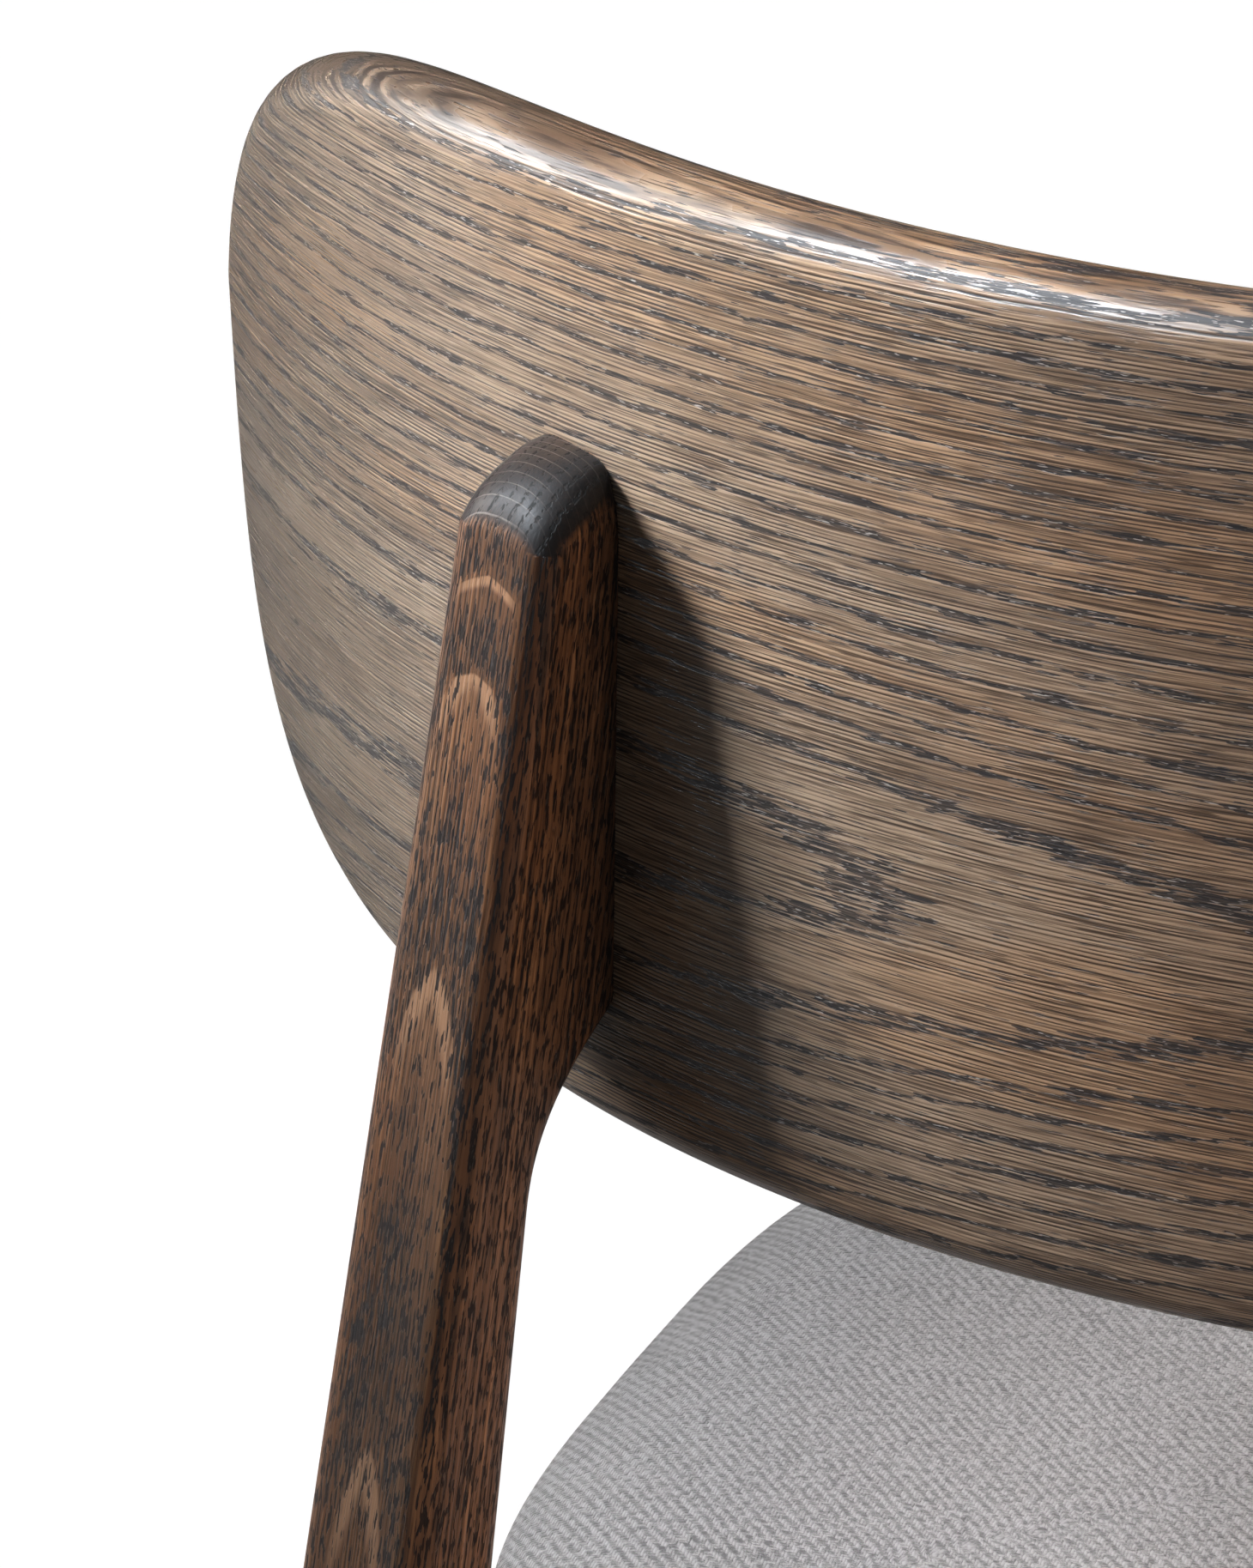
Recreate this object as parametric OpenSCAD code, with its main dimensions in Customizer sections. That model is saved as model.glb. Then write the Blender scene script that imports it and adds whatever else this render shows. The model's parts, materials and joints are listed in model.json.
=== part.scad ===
// Dining chair with a bent backrest on two rear posts and an upholstered seat.
// Millimetres, Z up. The chair faces -Y. The origin is on the floor, at the middle of the chair's box.

/* [Backrest] */
// Length of the backrest, measured along its bend
back_length = 626; // [560:2:680]
// Radius of the bend at the middle of the board's thickness
back_radius = 338; // [300:2:400]
// Height of the backrest's reference level above the floor
back_level = 685; // [650:1:720]
// Rise of the top edge above the reference level, before its dip
back_rise = 115.5; // [95:0.5:130]
// Drop of the bottom edge below the reference level
back_drop = 101.6; // [80:0.1:110]
// Height above the reference level at which the backrest is longest
back_shoulder = 35; // [10:1:50]
// Dip of the top edge at the middle
back_dip = 9.2; // [0:0.1:15]
// Thickness of the board
back_thick = 21; // [16:0.5:26]
// Angle by which the backrest leans back
back_lean = 6.85; // [3:0.05:12]
// Squareness of the upper corners along the board
top_square = 7.34; // [4:0.01:9]
// Squareness of the upper corners up the board
top_round = 1.31; // [1.2:0.01:2.5]
// Squareness of the lower corners along the board
low_square = 5.96; // [4:0.01:8]
// Squareness of the lower corners up the board
low_round = 3.23; // [2:0.01:4]

/* [Rear legs] */
// Distance of the post from the middle plane, at the reference level
post_x = 168.8; // [150:0.2:180]
// Distance of the post's rear face in front of the backrest's middle, at the reference level
post_y = 2.4; // [-2:0.2:6]
// Turn of the legs round the vertical
leg_turn = 22; // [10:0.5:30]
// Outward step of each leg for each millimetre down
leg_splay = 0.128; // [0.06:0.002:0.15]
// Rearward step of the rear leg for each millimetre down
rear_rake = 0.011; // [0:0.001:0.04]
// Width of the post where its dome starts
post_w = 26.4; // [22:0.2:32]
// Depth of the bare post at the same height
post_d = 16.8; // [14:0.1:24]
// Height above the reference level at which the dome starts
dome_base = 34; // [25:1:42]
// Height of the dome
dome_rise = 18.6; // [12:0.2:24]
// Drop below the reference level at which the pad ends
pad_drop = 63; // [50:1:70]
// Height of the hollow fillet under the pad
fillet_h = 46; // [30:1:60]
// Corner radius of the legs
leg_corner = 6; // [3:0.5:8]

/* [Legs] */
// Width of every leg at the top of the rails
leg_w = 35.6; // [30:0.2:40]
// Depth of every leg at the top of the rails
leg_d = 31.6; // [28:0.2:38]
// Width and depth of every foot
foot_w = 25; // [20:0.5:30]
// Bevel at the edge of the foot
foot_bevel = 1.5; // [0.5:0.5:3]
// Forward step of the front leg for each millimetre down
front_rake = 0.05; // [0:0.002:0.08]
// Distance of the front leg's face behind the seat's front edge, at the top of the rails
front_inset = 1; // [0:0.5:6]
// Rise of the front leg's rounded top above the rails
front_rise = 11; // [10:1:16]
// Radius at the edge of the front leg's top
front_round = 9; // [6:1:10]

/* [Rails] */
// Height of the rails' top edge above the floor
rail_top = 424; // [400:1:440]
// Height of the rails
rail_h = 57; // [50:1:70]
// Thickness of the rails
rail_t = 22; // [18:0.5:24]
// Radius of the long edges of the rails
rail_edge = 2; // [1:0.5:4]
// Reach of a corner block along each rail
block_reach = 90; // [84:1:100]
// Blunt end of a corner block, at each tip
block_tip = 16; // [12:1:20]
// Height of a corner block
block_h = 32; // [26:1:38]

/* [Seat] */
// Distance of the seat's side beyond the middle of the legs, at the top of the rails
seat_side = 11.3; // [6:0.1:16]
// Depth of the seat
seat_d = 430; // [400:1:450]
// Distance of the seat's rear edge behind the backrest's middle
seat_back = 1.3; // [-10:0.1:8]
// Squareness of the seat's outline
seat_square = 3.11; // [2.6:0.01:4]
// Height from the rails to the widest line of the cushion
seat_swell_h = 18; // [14:0.5:24]
// Height from the rails to the cushion's crown
seat_crown_h = 43; // [38:1:50]
// Extra rise of the crown towards the middle
seat_dome = 4; // [1:0.5:8]
// Amount by which the cushion draws in at its foot
seat_draw = 5; // [2:0.5:8]
// Thickness of the seat's fabric
cover_t = 1.2; // [0.8:0.1:2]
// Distance from the seat's outline to the edge of the fabric turned under the board
cover_turn = 24; // [20:1:30]
// Thickness of the plywood board
board_t = 12; // [9:1:15]
// Distance from the seat's outline to the board's edge
board_inset = 11; // [9:0.5:14]
// Thickness of the lining under the seat
lining_t = 0.8; // [0.6:0.1:1.2]

/* [Fasteners] */
// Diameter of the dowels
dowel_d = 8; // [6:1:9]
// Length of the dowels in the rails
rail_dowel_l = 34; // [28:1:36]
// Length of the dowels in the backrest
back_dowel_l = 24; // [20:1:26]
// Shank diameter of the wood screws
screw_d = 4; // [3:0.5:4.5]
// Length of the wood screws
screw_l = 30; // [26:1:34]
// Wood left under the head of a wood screw
screw_seat = 18; // [14:1:20]
// Diameter of the seat bolts
bolt_d = 6; // [5:1:8]
// Diameter of a foot glide
glide_d = 20; // [16:1:22]
// Height of a foot glide
glide_h = 5; // [4:0.5:8]
// Length of a glide's nail
nail_l = 18; // [14:1:24]

/* [Hidden] */
$fn = 48;

// Clearances
glue_gap = 0.12;
hole_gap = 0.05;
soft_gap = 0.3;
lining_gap = 1;

// Sampling of the lofted shapes
back_steps = 34;
edge_steps = 6;
corner_steps = 5;
dome_steps = 7;
fillet_steps = 7;
seat_steps = 48;

// Colours
oak = [0.36, 0.27, 0.2];
beech = [0.8, 0.66, 0.48];
ply = [0.76, 0.62, 0.44];
wool = [0.68, 0.67, 0.67];
sponge = [0.93, 0.88, 0.7];
lining = [0.08, 0.08, 0.08];
steel = [0.7, 0.7, 0.72];
plastic = [0.15, 0.14, 0.13];

// Backrest, worked out
back_half = back_length / 2;
back_r = back_thick / 2;
rear_face_r = back_radius + back_r;

// Directions across and behind the rear leg at +X, seen from above
across = [cos(leg_turn), -sin(leg_turn)];
behind = [sin(leg_turn), cos(leg_turn)];

// Levels of the rear leg
dome_z = back_level + dome_base;
pad_z = back_level - pad_drop;
fillet_z = pad_z - fillet_h;
rail_mid = rail_top - rail_h / 2;

function mix(a, b, t) = a + (b - a) * t;
function unit(v) = v / norm(v);

// Width, depth and place of the legs at a height. The taper changes at the top of the rails.
function low_share(z) = (z - glide_h) / (rail_top - glide_h);
function high_share(z) = (z - rail_top) / (dome_z - rail_top);
function leg_wide(z) = z < rail_top ? mix(foot_w, leg_w, low_share(z)) : mix(leg_w, post_w, high_share(z));
function leg_deep(z) = z < rail_top ? mix(foot_w, leg_d, low_share(z)) : mix(leg_d, post_d, high_share(z));
function leg_out(z) = post_x + leg_splay * (back_level - z);

// The outer faces of the legs, measured from the backrest's middle. The front ones stand near the seat's edge.
front_top_y = seat_back - seat_d + front_inset;
function rear_face(z) = [leg_out(z), -post_y + rear_rake * (back_level - z)];
function front_face(z) = [leg_out(z), front_top_y - front_rake * (rail_top - z)];

// Middle of a leg's section: end is 1 at the rear and -1 at the front
function leg_mid(end, z) = (end > 0 ? rear_face(z) : front_face(z)) - [behind.x, end * behind.y] * leg_deep(z) / 2;

// How far a leg's section reaches along Y from its middle
function reach_y(z) = (leg_wide(z) / 2 - leg_corner) * abs(across.y)
    + (leg_deep(z) / 2 - leg_corner) * behind.y + leg_corner;

// The origin lies at the middle of the box, whose ends are the front feet and the top of the backrest
foot_z = glide_h + foot_bevel;
box_front = leg_mid(-1, foot_z).y - reach_y(foot_z);
box_rear = (back_rise - back_dip - back_r) * sin(back_lean) + back_r;
y0 = -(box_front + box_rear) / 2;

// Width, heights and the middle of the seat
seat_w = 2 * (leg_out(rail_top) + seat_side);
seat_mid_y = y0 + seat_back - seat_d / 2;
cover_low = rail_top + soft_gap;
board_low = cover_low + cover_t + soft_gap;
board_top = board_low + board_t;
swell_z = rail_top + seat_swell_h;
crown_z = rail_top + seat_crown_h;

// The frame's inner corners, and the fasteners of the corner blocks measured from there
side_x = leg_mid(1, rail_mid).x;
corner_x = side_x - rail_t / 2;
block_mid = rail_top - block_h / 2;
block_low = rail_top - block_h;
bolt_in = block_reach / 2;
screw_at = block_reach * 0.74;
screw_head_d = screw_d * 2;
screw_head_h = screw_d * 0.6;
washer_t = 1.6;
washer_d = bolt_d * 2.3;
bolt_head_d = bolt_d * 1.75;
bolt_head_h = bolt_d * 0.55;
nut_flange_d = bolt_d * 3;
nut_flange_t = 1.4;
nut_barrel_d = bolt_d + 3;
nut_barrel_l = board_t - 3;
nail_d = 2.4;
nail_head_d = 8;
nail_head_h = 1;
nail_low = glide_h / 2;
glide_round = 1.2;
function corner_y(end) = y0 + leg_mid(end, rail_mid).y - end * rail_t / 2;

// Outline of the unrolled backrest: height of its upper and lower edge at a distance from the middle
function top_edge(u) = back_shoulder - back_dip * (1 - pow(u / back_half, 2))
    + (back_rise - back_shoulder) * pow(max(0, 1 - pow(abs(u) / back_half, top_square)), 1 / top_round);
function low_edge(u) = back_shoulder
    - (back_drop + back_shoulder) * pow(max(0, 1 - pow(abs(u) / back_half, low_square)), 1 / low_round);
function column(j) = back_half * sin(90 * (j - back_steps) / back_steps);
columns = 2 * back_steps;
outline = concat(
    [for (j = [0:columns]) [column(j), top_edge(column(j))]],
    [for (j = [columns - 1:-1:1]) [column(j), low_edge(column(j))]]);
outline_n = len(outline);
function low_index(j) = (j == 0 || j == columns) ? j : outline_n - j;

// Direction from an outline point towards the inside of the outline
function inward(i) = let (
    ahead = outline[(i + 1) % outline_n],
    astern = outline[(i + outline_n - 1) % outline_n],
    along = unit(ahead - astern))
    [along.y, -along.x];

// A point of the flat board bent to its radius, leant back and set at its height
function bend(p, w) = let (
    turn = p.x / back_radius * 180 / PI,
    y = back_radius - (back_radius + w) * cos(turn))
    [(back_radius + w) * sin(turn),
     y0 - y * cos(back_lean) + p.y * sin(back_lean),
     back_level + p.y * cos(back_lean) + y * sin(back_lean)];

// Distance from a post's rear face forward to the backrest's rear face
function pad_depth(z) = let (
    squash = cos(back_lean),
    axis_y = -(back_radius - (z - back_level) * sin(back_lean)) / squash,
    p = [rear_face(z).x, (rear_face(z).y - axis_y) * squash],
    q = [behind.x, behind.y * squash],
    a = q * q,
    b = p * q,
    c = p * p - rear_face_r * rear_face_r)
    (b - sqrt(b * b - a * c)) / a;

// A rounded rectangle as points, its outer face on the X axis and its depth along -Y
function rounded(w, d, r) = [for (c = [0:3], k = [0:corner_steps])
    let (
        sx = (c == 0 || c == 3) ? 1 : -1,
        sy = c < 2 ? 1 : -1,
        turn = 90 * (c + k / corner_steps))
    [sx * (w / 2 - r) + r * cos(turn), sy * (d / 2 - r) - d / 2 + r * sin(turn)]];

// A level of a leg is [z, width, depth, corner radius, setback of the outer face, slope across the leg].
// A sloping section slides along the leg's sides, so the sides stay flat.
function section(face, level, grow) = let (
    w = level[1] + 2 * grow,
    d = level[2] - level[4] + 2 * grow)
    [for (p = rounded(w, d, level[3]))
        let (
            q = face + across * p.x + behind * (p.y - level[4] + grow),
            rise = level[5] * p.x)
        [q.x - leg_splay * rise, q.y, level[0] + rise]];

foot_levels = [
    [glide_h, foot_w - 2 * foot_bevel, foot_w - foot_bevel, leg_corner - foot_bevel, foot_bevel, 0],
    [foot_z, leg_wide(foot_z), leg_deep(foot_z), leg_corner, 0, 0],
    [rail_top, leg_w, leg_d, leg_corner, 0, 0]];

// Above the rails the bare leg runs up to the fillet, which swells into a pad that reaches into the backrest
pad_extra = 6;
function blank_deep(z) = let (share = min(1, max(0, (z - fillet_z) / fillet_h)))
    mix(leg_deep(z), pad_depth(z) + pad_extra, pow(share, 2.6));

// The post's dome stands square to the splayed leg
dome_slope = leg_splay * across.x;
function dome_turn(k) = 88 * k / dome_steps;
post_levels = concat(
    [for (k = [0:fillet_steps]) let (z = fillet_z + fillet_h * k / fillet_steps)
        [z, leg_wide(z), blank_deep(z), leg_corner, 0, 0]],
    [for (k = [0:dome_steps]) let (
        w = post_w * pow(cos(dome_turn(k)), 0.385))
        [dome_z + dome_rise * sin(dome_turn(k)), w, pad_depth(dome_z) + pad_extra, min(leg_corner, w / 2.2),
            pad_depth(dome_z) * (1 - pow(cos(dome_turn(k)), 1.4)), dome_slope]]);

// The front leg ends in a rounded top
top_levels = [for (k = [0:dome_steps]) let (
    inset = front_round * (1 - cos(90 * k / dome_steps)),
    z = rail_top + front_rise - front_round * (1 - sin(90 * k / dome_steps)))
    [z, leg_w - 2 * inset, leg_d - inset, min(leg_corner, (leg_d - 2 * inset) / 2.2), inset, 0]];

// A closed solid through a list of sections
module loft(sections) {
    n = len(sections[0]);
    m = len(sections);
    polyhedron(
        points = [for (s = sections, p = s) p],
        faces = concat(
            [[for (i = [0:n - 1]) i]],
            [[for (i = [n - 1:-1:0]) (m - 1) * n + i]],
            [for (k = [0:m - 2], i = [0:n - 1]) [k * n + i, (k + 1) * n + i, (k + 1) * n + (i + 1) % n]],
            [for (k = [0:m - 2], i = [0:n - 1]) [k * n + i, (k + 1) * n + (i + 1) % n, k * n + (i + 1) % n]]),
        convexity = 8);
}

module rear_blank(grow = 0) {
    translate([0, y0, 0])
        loft([for (v = concat(foot_levels, post_levels)) section(rear_face(v[0]), v, grow)]);
}

// The front leg is worked out as a rear leg seen in a mirror
module front_blank(grow = 0) {
    translate([0, y0, 0])
        mirror([0, 1, 0])
            loft([for (v = concat(foot_levels, top_levels))
                section([front_face(v[0]).x, -front_face(v[0]).y], v, grow)]);
}

module leg_blank(end, grow = 0) {
    if (end > 0) rear_blank(grow);
    else front_blank(grow);
}

// What is drawn for +X is mirrored for the other side
module on_side(side) {
    if (side > 0) children();
    else mirror([1, 0, 0]) children();
}

// Puts its children at an inner corner of the frame, with +X and +Y pointing at the leg
module in_corner(side, end) {
    translate([side * corner_x, corner_y(end), 0])
        mirror([side > 0 ? 0 : 1, 0, 0])
            mirror([0, end > 0 ? 0 : 1, 0])
                children();
}

// Two dowels between a post and the backrest
module post_dowels(extra) {
    for (z = [back_level + back_rise * 0.16, back_level - pad_drop * 0.6])
        let (p = rear_face(z) - behind * pad_depth(z))
            translate([p.x, y0 + p.y, z])
                rotate([90, 0, -leg_turn])
                    cylinder(d = dowel_d + 2 * extra, h = back_dowel_l + 2 * extra, center = true);
}

// Four dowels at a corner: two run into the side rail and, between them in height, two into the cross rail
dowel_high = rail_h * 0.31;
dowel_low = rail_h * 0.105;
dowel_in_leg = 0.44;
module corner_dowels(end, extra) {
    shift = rail_dowel_l * (0.5 - dowel_in_leg);
    for (dz = [dowel_high, -dowel_low])
        let (m = leg_mid(end, rail_mid), face = leg_deep(rail_mid) / 2 / behind.y)
            translate([side_x, y0 + m.y - end * (face + shift), rail_mid + dz])
                rotate([90, 0, 0])
                    cylinder(d = dowel_d + 2 * extra, h = rail_dowel_l + 2 * extra, center = true);
    for (dz = [dowel_low, -dowel_high])
        let (m = leg_mid(end, rail_mid), face = leg_wide(rail_mid) / 2 / across.x)
            translate([m.x - face - shift, y0 + m.y, rail_mid + dz])
                rotate([0, 90, 0])
                    cylinder(d = dowel_d + 2 * extra, h = rail_dowel_l + 2 * extra, center = true);
}

module rail_profile() {
    square([rail_t - 2 * rail_edge, rail_h], center = true);
    square([rail_t, rail_h - 2 * rail_edge], center = true);
    for (sx = [-1, 1], sy = [-1, 1])
        translate([sx * (rail_t / 2 - rail_edge), sy * (rail_h / 2 - rail_edge)])
            circle(r = rail_edge);
}

// The hole and the shank of a wood screw across a corner block, into the side rail and into the cross rail
module at_block_screws() {
    translate([-screw_seat, -screw_at, block_mid]) rotate([0, 90, 0]) children();
    translate([-screw_at, -screw_seat, block_mid]) rotate([-90, 0, 0]) children();
}

// The outline of the seat at a distance inside its edge
function seat_ring(inset, z) = [for (i = [0:seat_steps - 1])
    let (
        a = 360 * i / seat_steps,
        x = pow(abs(cos(a)), 2 / seat_square) * sign(cos(a)),
        y = pow(abs(sin(a)), 2 / seat_square) * sign(sin(a)))
    [(seat_w / 2 - inset) * x, seat_mid_y + (seat_d / 2 - inset) * y, z]];

module seat_slab(inset, low, high) {
    loft([seat_ring(inset, low), seat_ring(inset, high)]);
}

// The cushion's form, drawn in at its foot, swelling to its widest line and rounding over to its crown
crown_turns = [0, 11, 22, 33, 45, 56, 67, 78, 86];
module cushion(shell) {
    half = seat_w / 2 - shell;
    low = cover_low + shell;
    high = crown_z - seat_dome - shell;
    loft(concat(
        [for (t = [0, 0.35, 0.7]) seat_ring(shell + seat_draw * pow(1 - t, 2), mix(low, swell_z, t))],
        [for (a = crown_turns) let (x = pow(cos(a), 0.25))
            seat_ring(shell + half * (1 - x), mix(swell_z, high, pow(sin(a), 1.25)) + seat_dome * (1 - x * x))]));
}

module at_feet() {
    for (side = [-1, 1], end = [-1, 1])
        let (m = leg_mid(end, glide_h))
            translate([side * m.x, y0 + m.y, 0])
                children();
}

module nail_holes() {
    at_feet()
        translate([0, 0, nail_low])
            cylinder(d = nail_d + 2 * hole_gap, h = nail_l + hole_gap);
}

module backrest() {
    color(oak)
        difference() {
            polyhedron(
                points = [for (k = [0:edge_steps], i = [0:outline_n - 1])
                    let (a = -90 + 180 * k / edge_steps)
                    bend(outline[i] + inward(i) * back_r * (1 - cos(a)), back_r * sin(a))],
                faces = concat(
                    [for (k = [0:edge_steps - 1], i = [0:outline_n - 1])
                        [k * outline_n + i, (k + 1) * outline_n + i, (k + 1) * outline_n + (i + 1) % outline_n]],
                    [for (k = [0:edge_steps - 1], i = [0:outline_n - 1])
                        [k * outline_n + i, (k + 1) * outline_n + (i + 1) % outline_n,
                            k * outline_n + (i + 1) % outline_n]],
                    face_strips(0, false),
                    face_strips(edge_steps * outline_n, true)),
                convexity = 8);
            for (side = [-1, 1])
                on_side(side) post_dowels(hole_gap);
        }
}

// Triangles between the upper and the lower edge of a face
function flipped(f, flip) = flip ? [f[0], f[2], f[1]] : f;
function face_strips(first, flip) = concat(
    [for (j = [0:columns - 1]) if (j < columns - 1)
        flipped([first + j, first + j + 1, first + low_index(j + 1)], flip)],
    [for (j = [1:columns - 1])
        flipped([first + j, first + low_index(j + 1), first + low_index(j)], flip)]);

module rear_leg(side) {
    color(oak)
        difference() {
            on_side(side) rear_blank();
            translate([0, y0 - back_radius * cos(back_lean), back_level + back_radius * sin(back_lean)])
                rotate([-back_lean, 0, 0])
                    cylinder(r = rear_face_r + glue_gap, h = 4 * back_rise, center = true, $fn = 96);
            on_side(side) post_dowels(hole_gap);
            on_side(side) corner_dowels(1, hole_gap);
            nail_holes();
        }
}

module front_leg(side) {
    color(oak)
        difference() {
            on_side(side) front_blank();
            on_side(side) corner_dowels(-1, hole_gap);
            nail_holes();
        }
}

module cross_rail(end) {
    color(oak)
        difference() {
            translate([0, y0 + leg_mid(end, rail_mid).y, rail_mid])
                rotate([90, 0, 90])
                    linear_extrude(2 * side_x, center = true) rail_profile();
            for (side = [-1, 1]) {
                on_side(side) leg_blank(end, glue_gap);
                on_side(side) corner_dowels(end, hole_gap);
                in_corner(side, end) at_block_screws()
                    cylinder(d = screw_d + 2 * hole_gap, h = screw_l + hole_gap);
            }
        }
}

module side_rail(side) {
    rear = leg_mid(1, rail_mid).y;
    front = leg_mid(-1, rail_mid).y;
    color(oak)
        difference() {
            translate([side * side_x, y0 + (rear + front) / 2, rail_mid])
                rotate([90, 0, 0])
                    linear_extrude(rear - front, center = true) rail_profile();
            for (end = [-1, 1]) {
                on_side(side) leg_blank(end, glue_gap);
                on_side(side) corner_dowels(end, hole_gap);
                in_corner(side, end) at_block_screws()
                    cylinder(d = screw_d + 2 * hole_gap, h = screw_l + hole_gap);
            }
        }
}

module corner_block(side, end) {
    color(oak)
        difference() {
            in_corner(side, end)
                translate([-glue_gap, -glue_gap, block_low])
                    linear_extrude(block_h)
                        polygon([[0, 0], [-block_reach, 0], [-block_reach, -block_tip],
                            [-block_tip, -block_reach], [0, -block_reach]]);
            on_side(side) leg_blank(end, soft_gap);
            in_corner(side, end) {
                at_block_screws() {
                    cylinder(d = screw_d + 2 * hole_gap, h = screw_l);
                    mirror([0, 0, 1]) cylinder(d = screw_head_d + 1, h = block_reach / 2);
                }
                translate([-bolt_in, -bolt_in, block_low - 1])
                    cylinder(d = bolt_d + 0.6, h = block_h + 2);
            }
        }
}

module rail_dowels() {
    color(beech)
        for (side = [-1, 1], end = [-1, 1])
            on_side(side) corner_dowels(end, 0);
}

module backrest_dowels() {
    color(beech)
        for (side = [-1, 1])
            on_side(side) post_dowels(0);
}

module block_screws() {
    color(steel)
        for (side = [-1, 1], end = [-1, 1])
            in_corner(side, end)
                at_block_screws() {
                    cylinder(d = screw_d, h = screw_l);
                    translate([0, 0, -screw_head_h]) cylinder(d = screw_head_d, h = screw_head_h);
                }
}

module seat_board() {
    color(ply)
        difference() {
            seat_slab(board_inset, board_low, board_top);
            for (side = [-1, 1], end = [-1, 1])
                in_corner(side, end)
                    translate([-bolt_in, -bolt_in, 0]) {
                        translate([0, 0, board_low - 1])
                            cylinder(d = nut_barrel_d + 2 * hole_gap, h = board_t + 2);
                        translate([0, 0, board_top - nut_flange_t - hole_gap])
                            cylinder(d = nut_flange_d + 1, h = nut_flange_t + 1);
                    }
        }
}

module seat_foam() {
    color(sponge)
        difference() {
            cushion(cover_t + soft_gap);
            seat_slab(board_inset - soft_gap, board_low - 1, board_top + soft_gap);
        }
}

module seat_cover() {
    color(wool)
        difference() {
            cushion(0);
            cushion(cover_t);
            seat_slab(cover_turn, cover_low - 1, cover_low + cover_t + 1);
        }
}

module dust_cover() {
    lining_high = board_low - soft_gap;
    color(lining)
        difference() {
            seat_slab(cover_turn + lining_gap, lining_high - lining_t, lining_high);
            for (side = [-1, 1], end = [-1, 1])
                in_corner(side, end)
                    translate([-bolt_in, -bolt_in, lining_high - 2 * lining_t])
                        cylinder(d = bolt_d + 2 * lining_gap, h = 3 * lining_t);
        }
}

module seat_bolts() {
    color(steel)
        for (side = [-1, 1], end = [-1, 1])
            in_corner(side, end)
                translate([-bolt_in, -bolt_in, block_low - washer_t - bolt_head_h]) {
                    cylinder(d = bolt_head_d, h = bolt_head_h);
                    cylinder(d = bolt_d, h = bolt_head_h + washer_t + block_h + board_top - rail_top - 1);
                }
}

module seat_washers() {
    color(steel)
        for (side = [-1, 1], end = [-1, 1])
            in_corner(side, end)
                translate([-bolt_in, -bolt_in, block_low - washer_t])
                    difference() {
                        cylinder(d = washer_d, h = washer_t);
                        translate([0, 0, -1]) cylinder(d = bolt_d + 0.4, h = washer_t + 2);
                    }
}

module seat_tee_nuts() {
    color(steel)
        for (side = [-1, 1], end = [-1, 1])
            in_corner(side, end)
                translate([-bolt_in, -bolt_in, board_top - nut_flange_t])
                    difference() {
                        union() {
                            cylinder(d = nut_flange_d, h = nut_flange_t);
                            translate([0, 0, -nut_barrel_l])
                                cylinder(d = nut_barrel_d, h = nut_barrel_l + nut_flange_t / 2);
                        }
                        translate([0, 0, -nut_barrel_l - 1])
                            cylinder(d = bolt_d + 2 * hole_gap, h = nut_barrel_l + nut_flange_t + 2);
                    }
}

module foot_glides() {
    color(plastic)
        at_feet()
            difference() {
                rotate_extrude() {
                    square([glide_d / 2 - glide_round, glide_h]);
                    translate([0, glide_round]) square([glide_d / 2, glide_h - glide_round]);
                    translate([glide_d / 2 - glide_round, glide_round]) circle(r = glide_round);
                }
                translate([0, 0, nail_low - hole_gap])
                    cylinder(d = nail_head_d + 2 * hole_gap, h = nail_head_h + 2 * hole_gap);
                translate([0, 0, nail_low])
                    cylinder(d = nail_d + 2 * hole_gap, h = glide_h);
            }
}

module glide_nails() {
    color(steel)
        at_feet()
            translate([0, 0, nail_low]) {
                cylinder(d = nail_head_d, h = nail_head_h);
                cylinder(d = nail_d, h = nail_l);
            }
}

backrest();
rear_leg(1);  // rear_leg_right
rear_leg(-1);  // rear_leg_left
front_leg(1);  // front_leg_right
front_leg(-1);  // front_leg_left
cross_rail(-1);  // front_rail
cross_rail(1);  // rear_rail
side_rail(1);  // side_rail_right
side_rail(-1);  // side_rail_left
corner_block(1, -1);  // corner_block_front_right
corner_block(-1, -1);  // corner_block_front_left
corner_block(1, 1);  // corner_block_rear_right
corner_block(-1, 1);  // corner_block_rear_left
rail_dowels();
backrest_dowels();
block_screws();
seat_board();
seat_foam();
seat_cover();
dust_cover();
seat_bolts();
seat_washers();
seat_tee_nuts();
foot_glides();
glide_nails();
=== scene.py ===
"""Dining chair in smoked oak with a woven seat.

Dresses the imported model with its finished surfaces, and sets the floor, the lights and the camera.
"""

import json
from types import SimpleNamespace

import bpy
import numpy as np
from mathutils import Matrix, Vector

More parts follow.
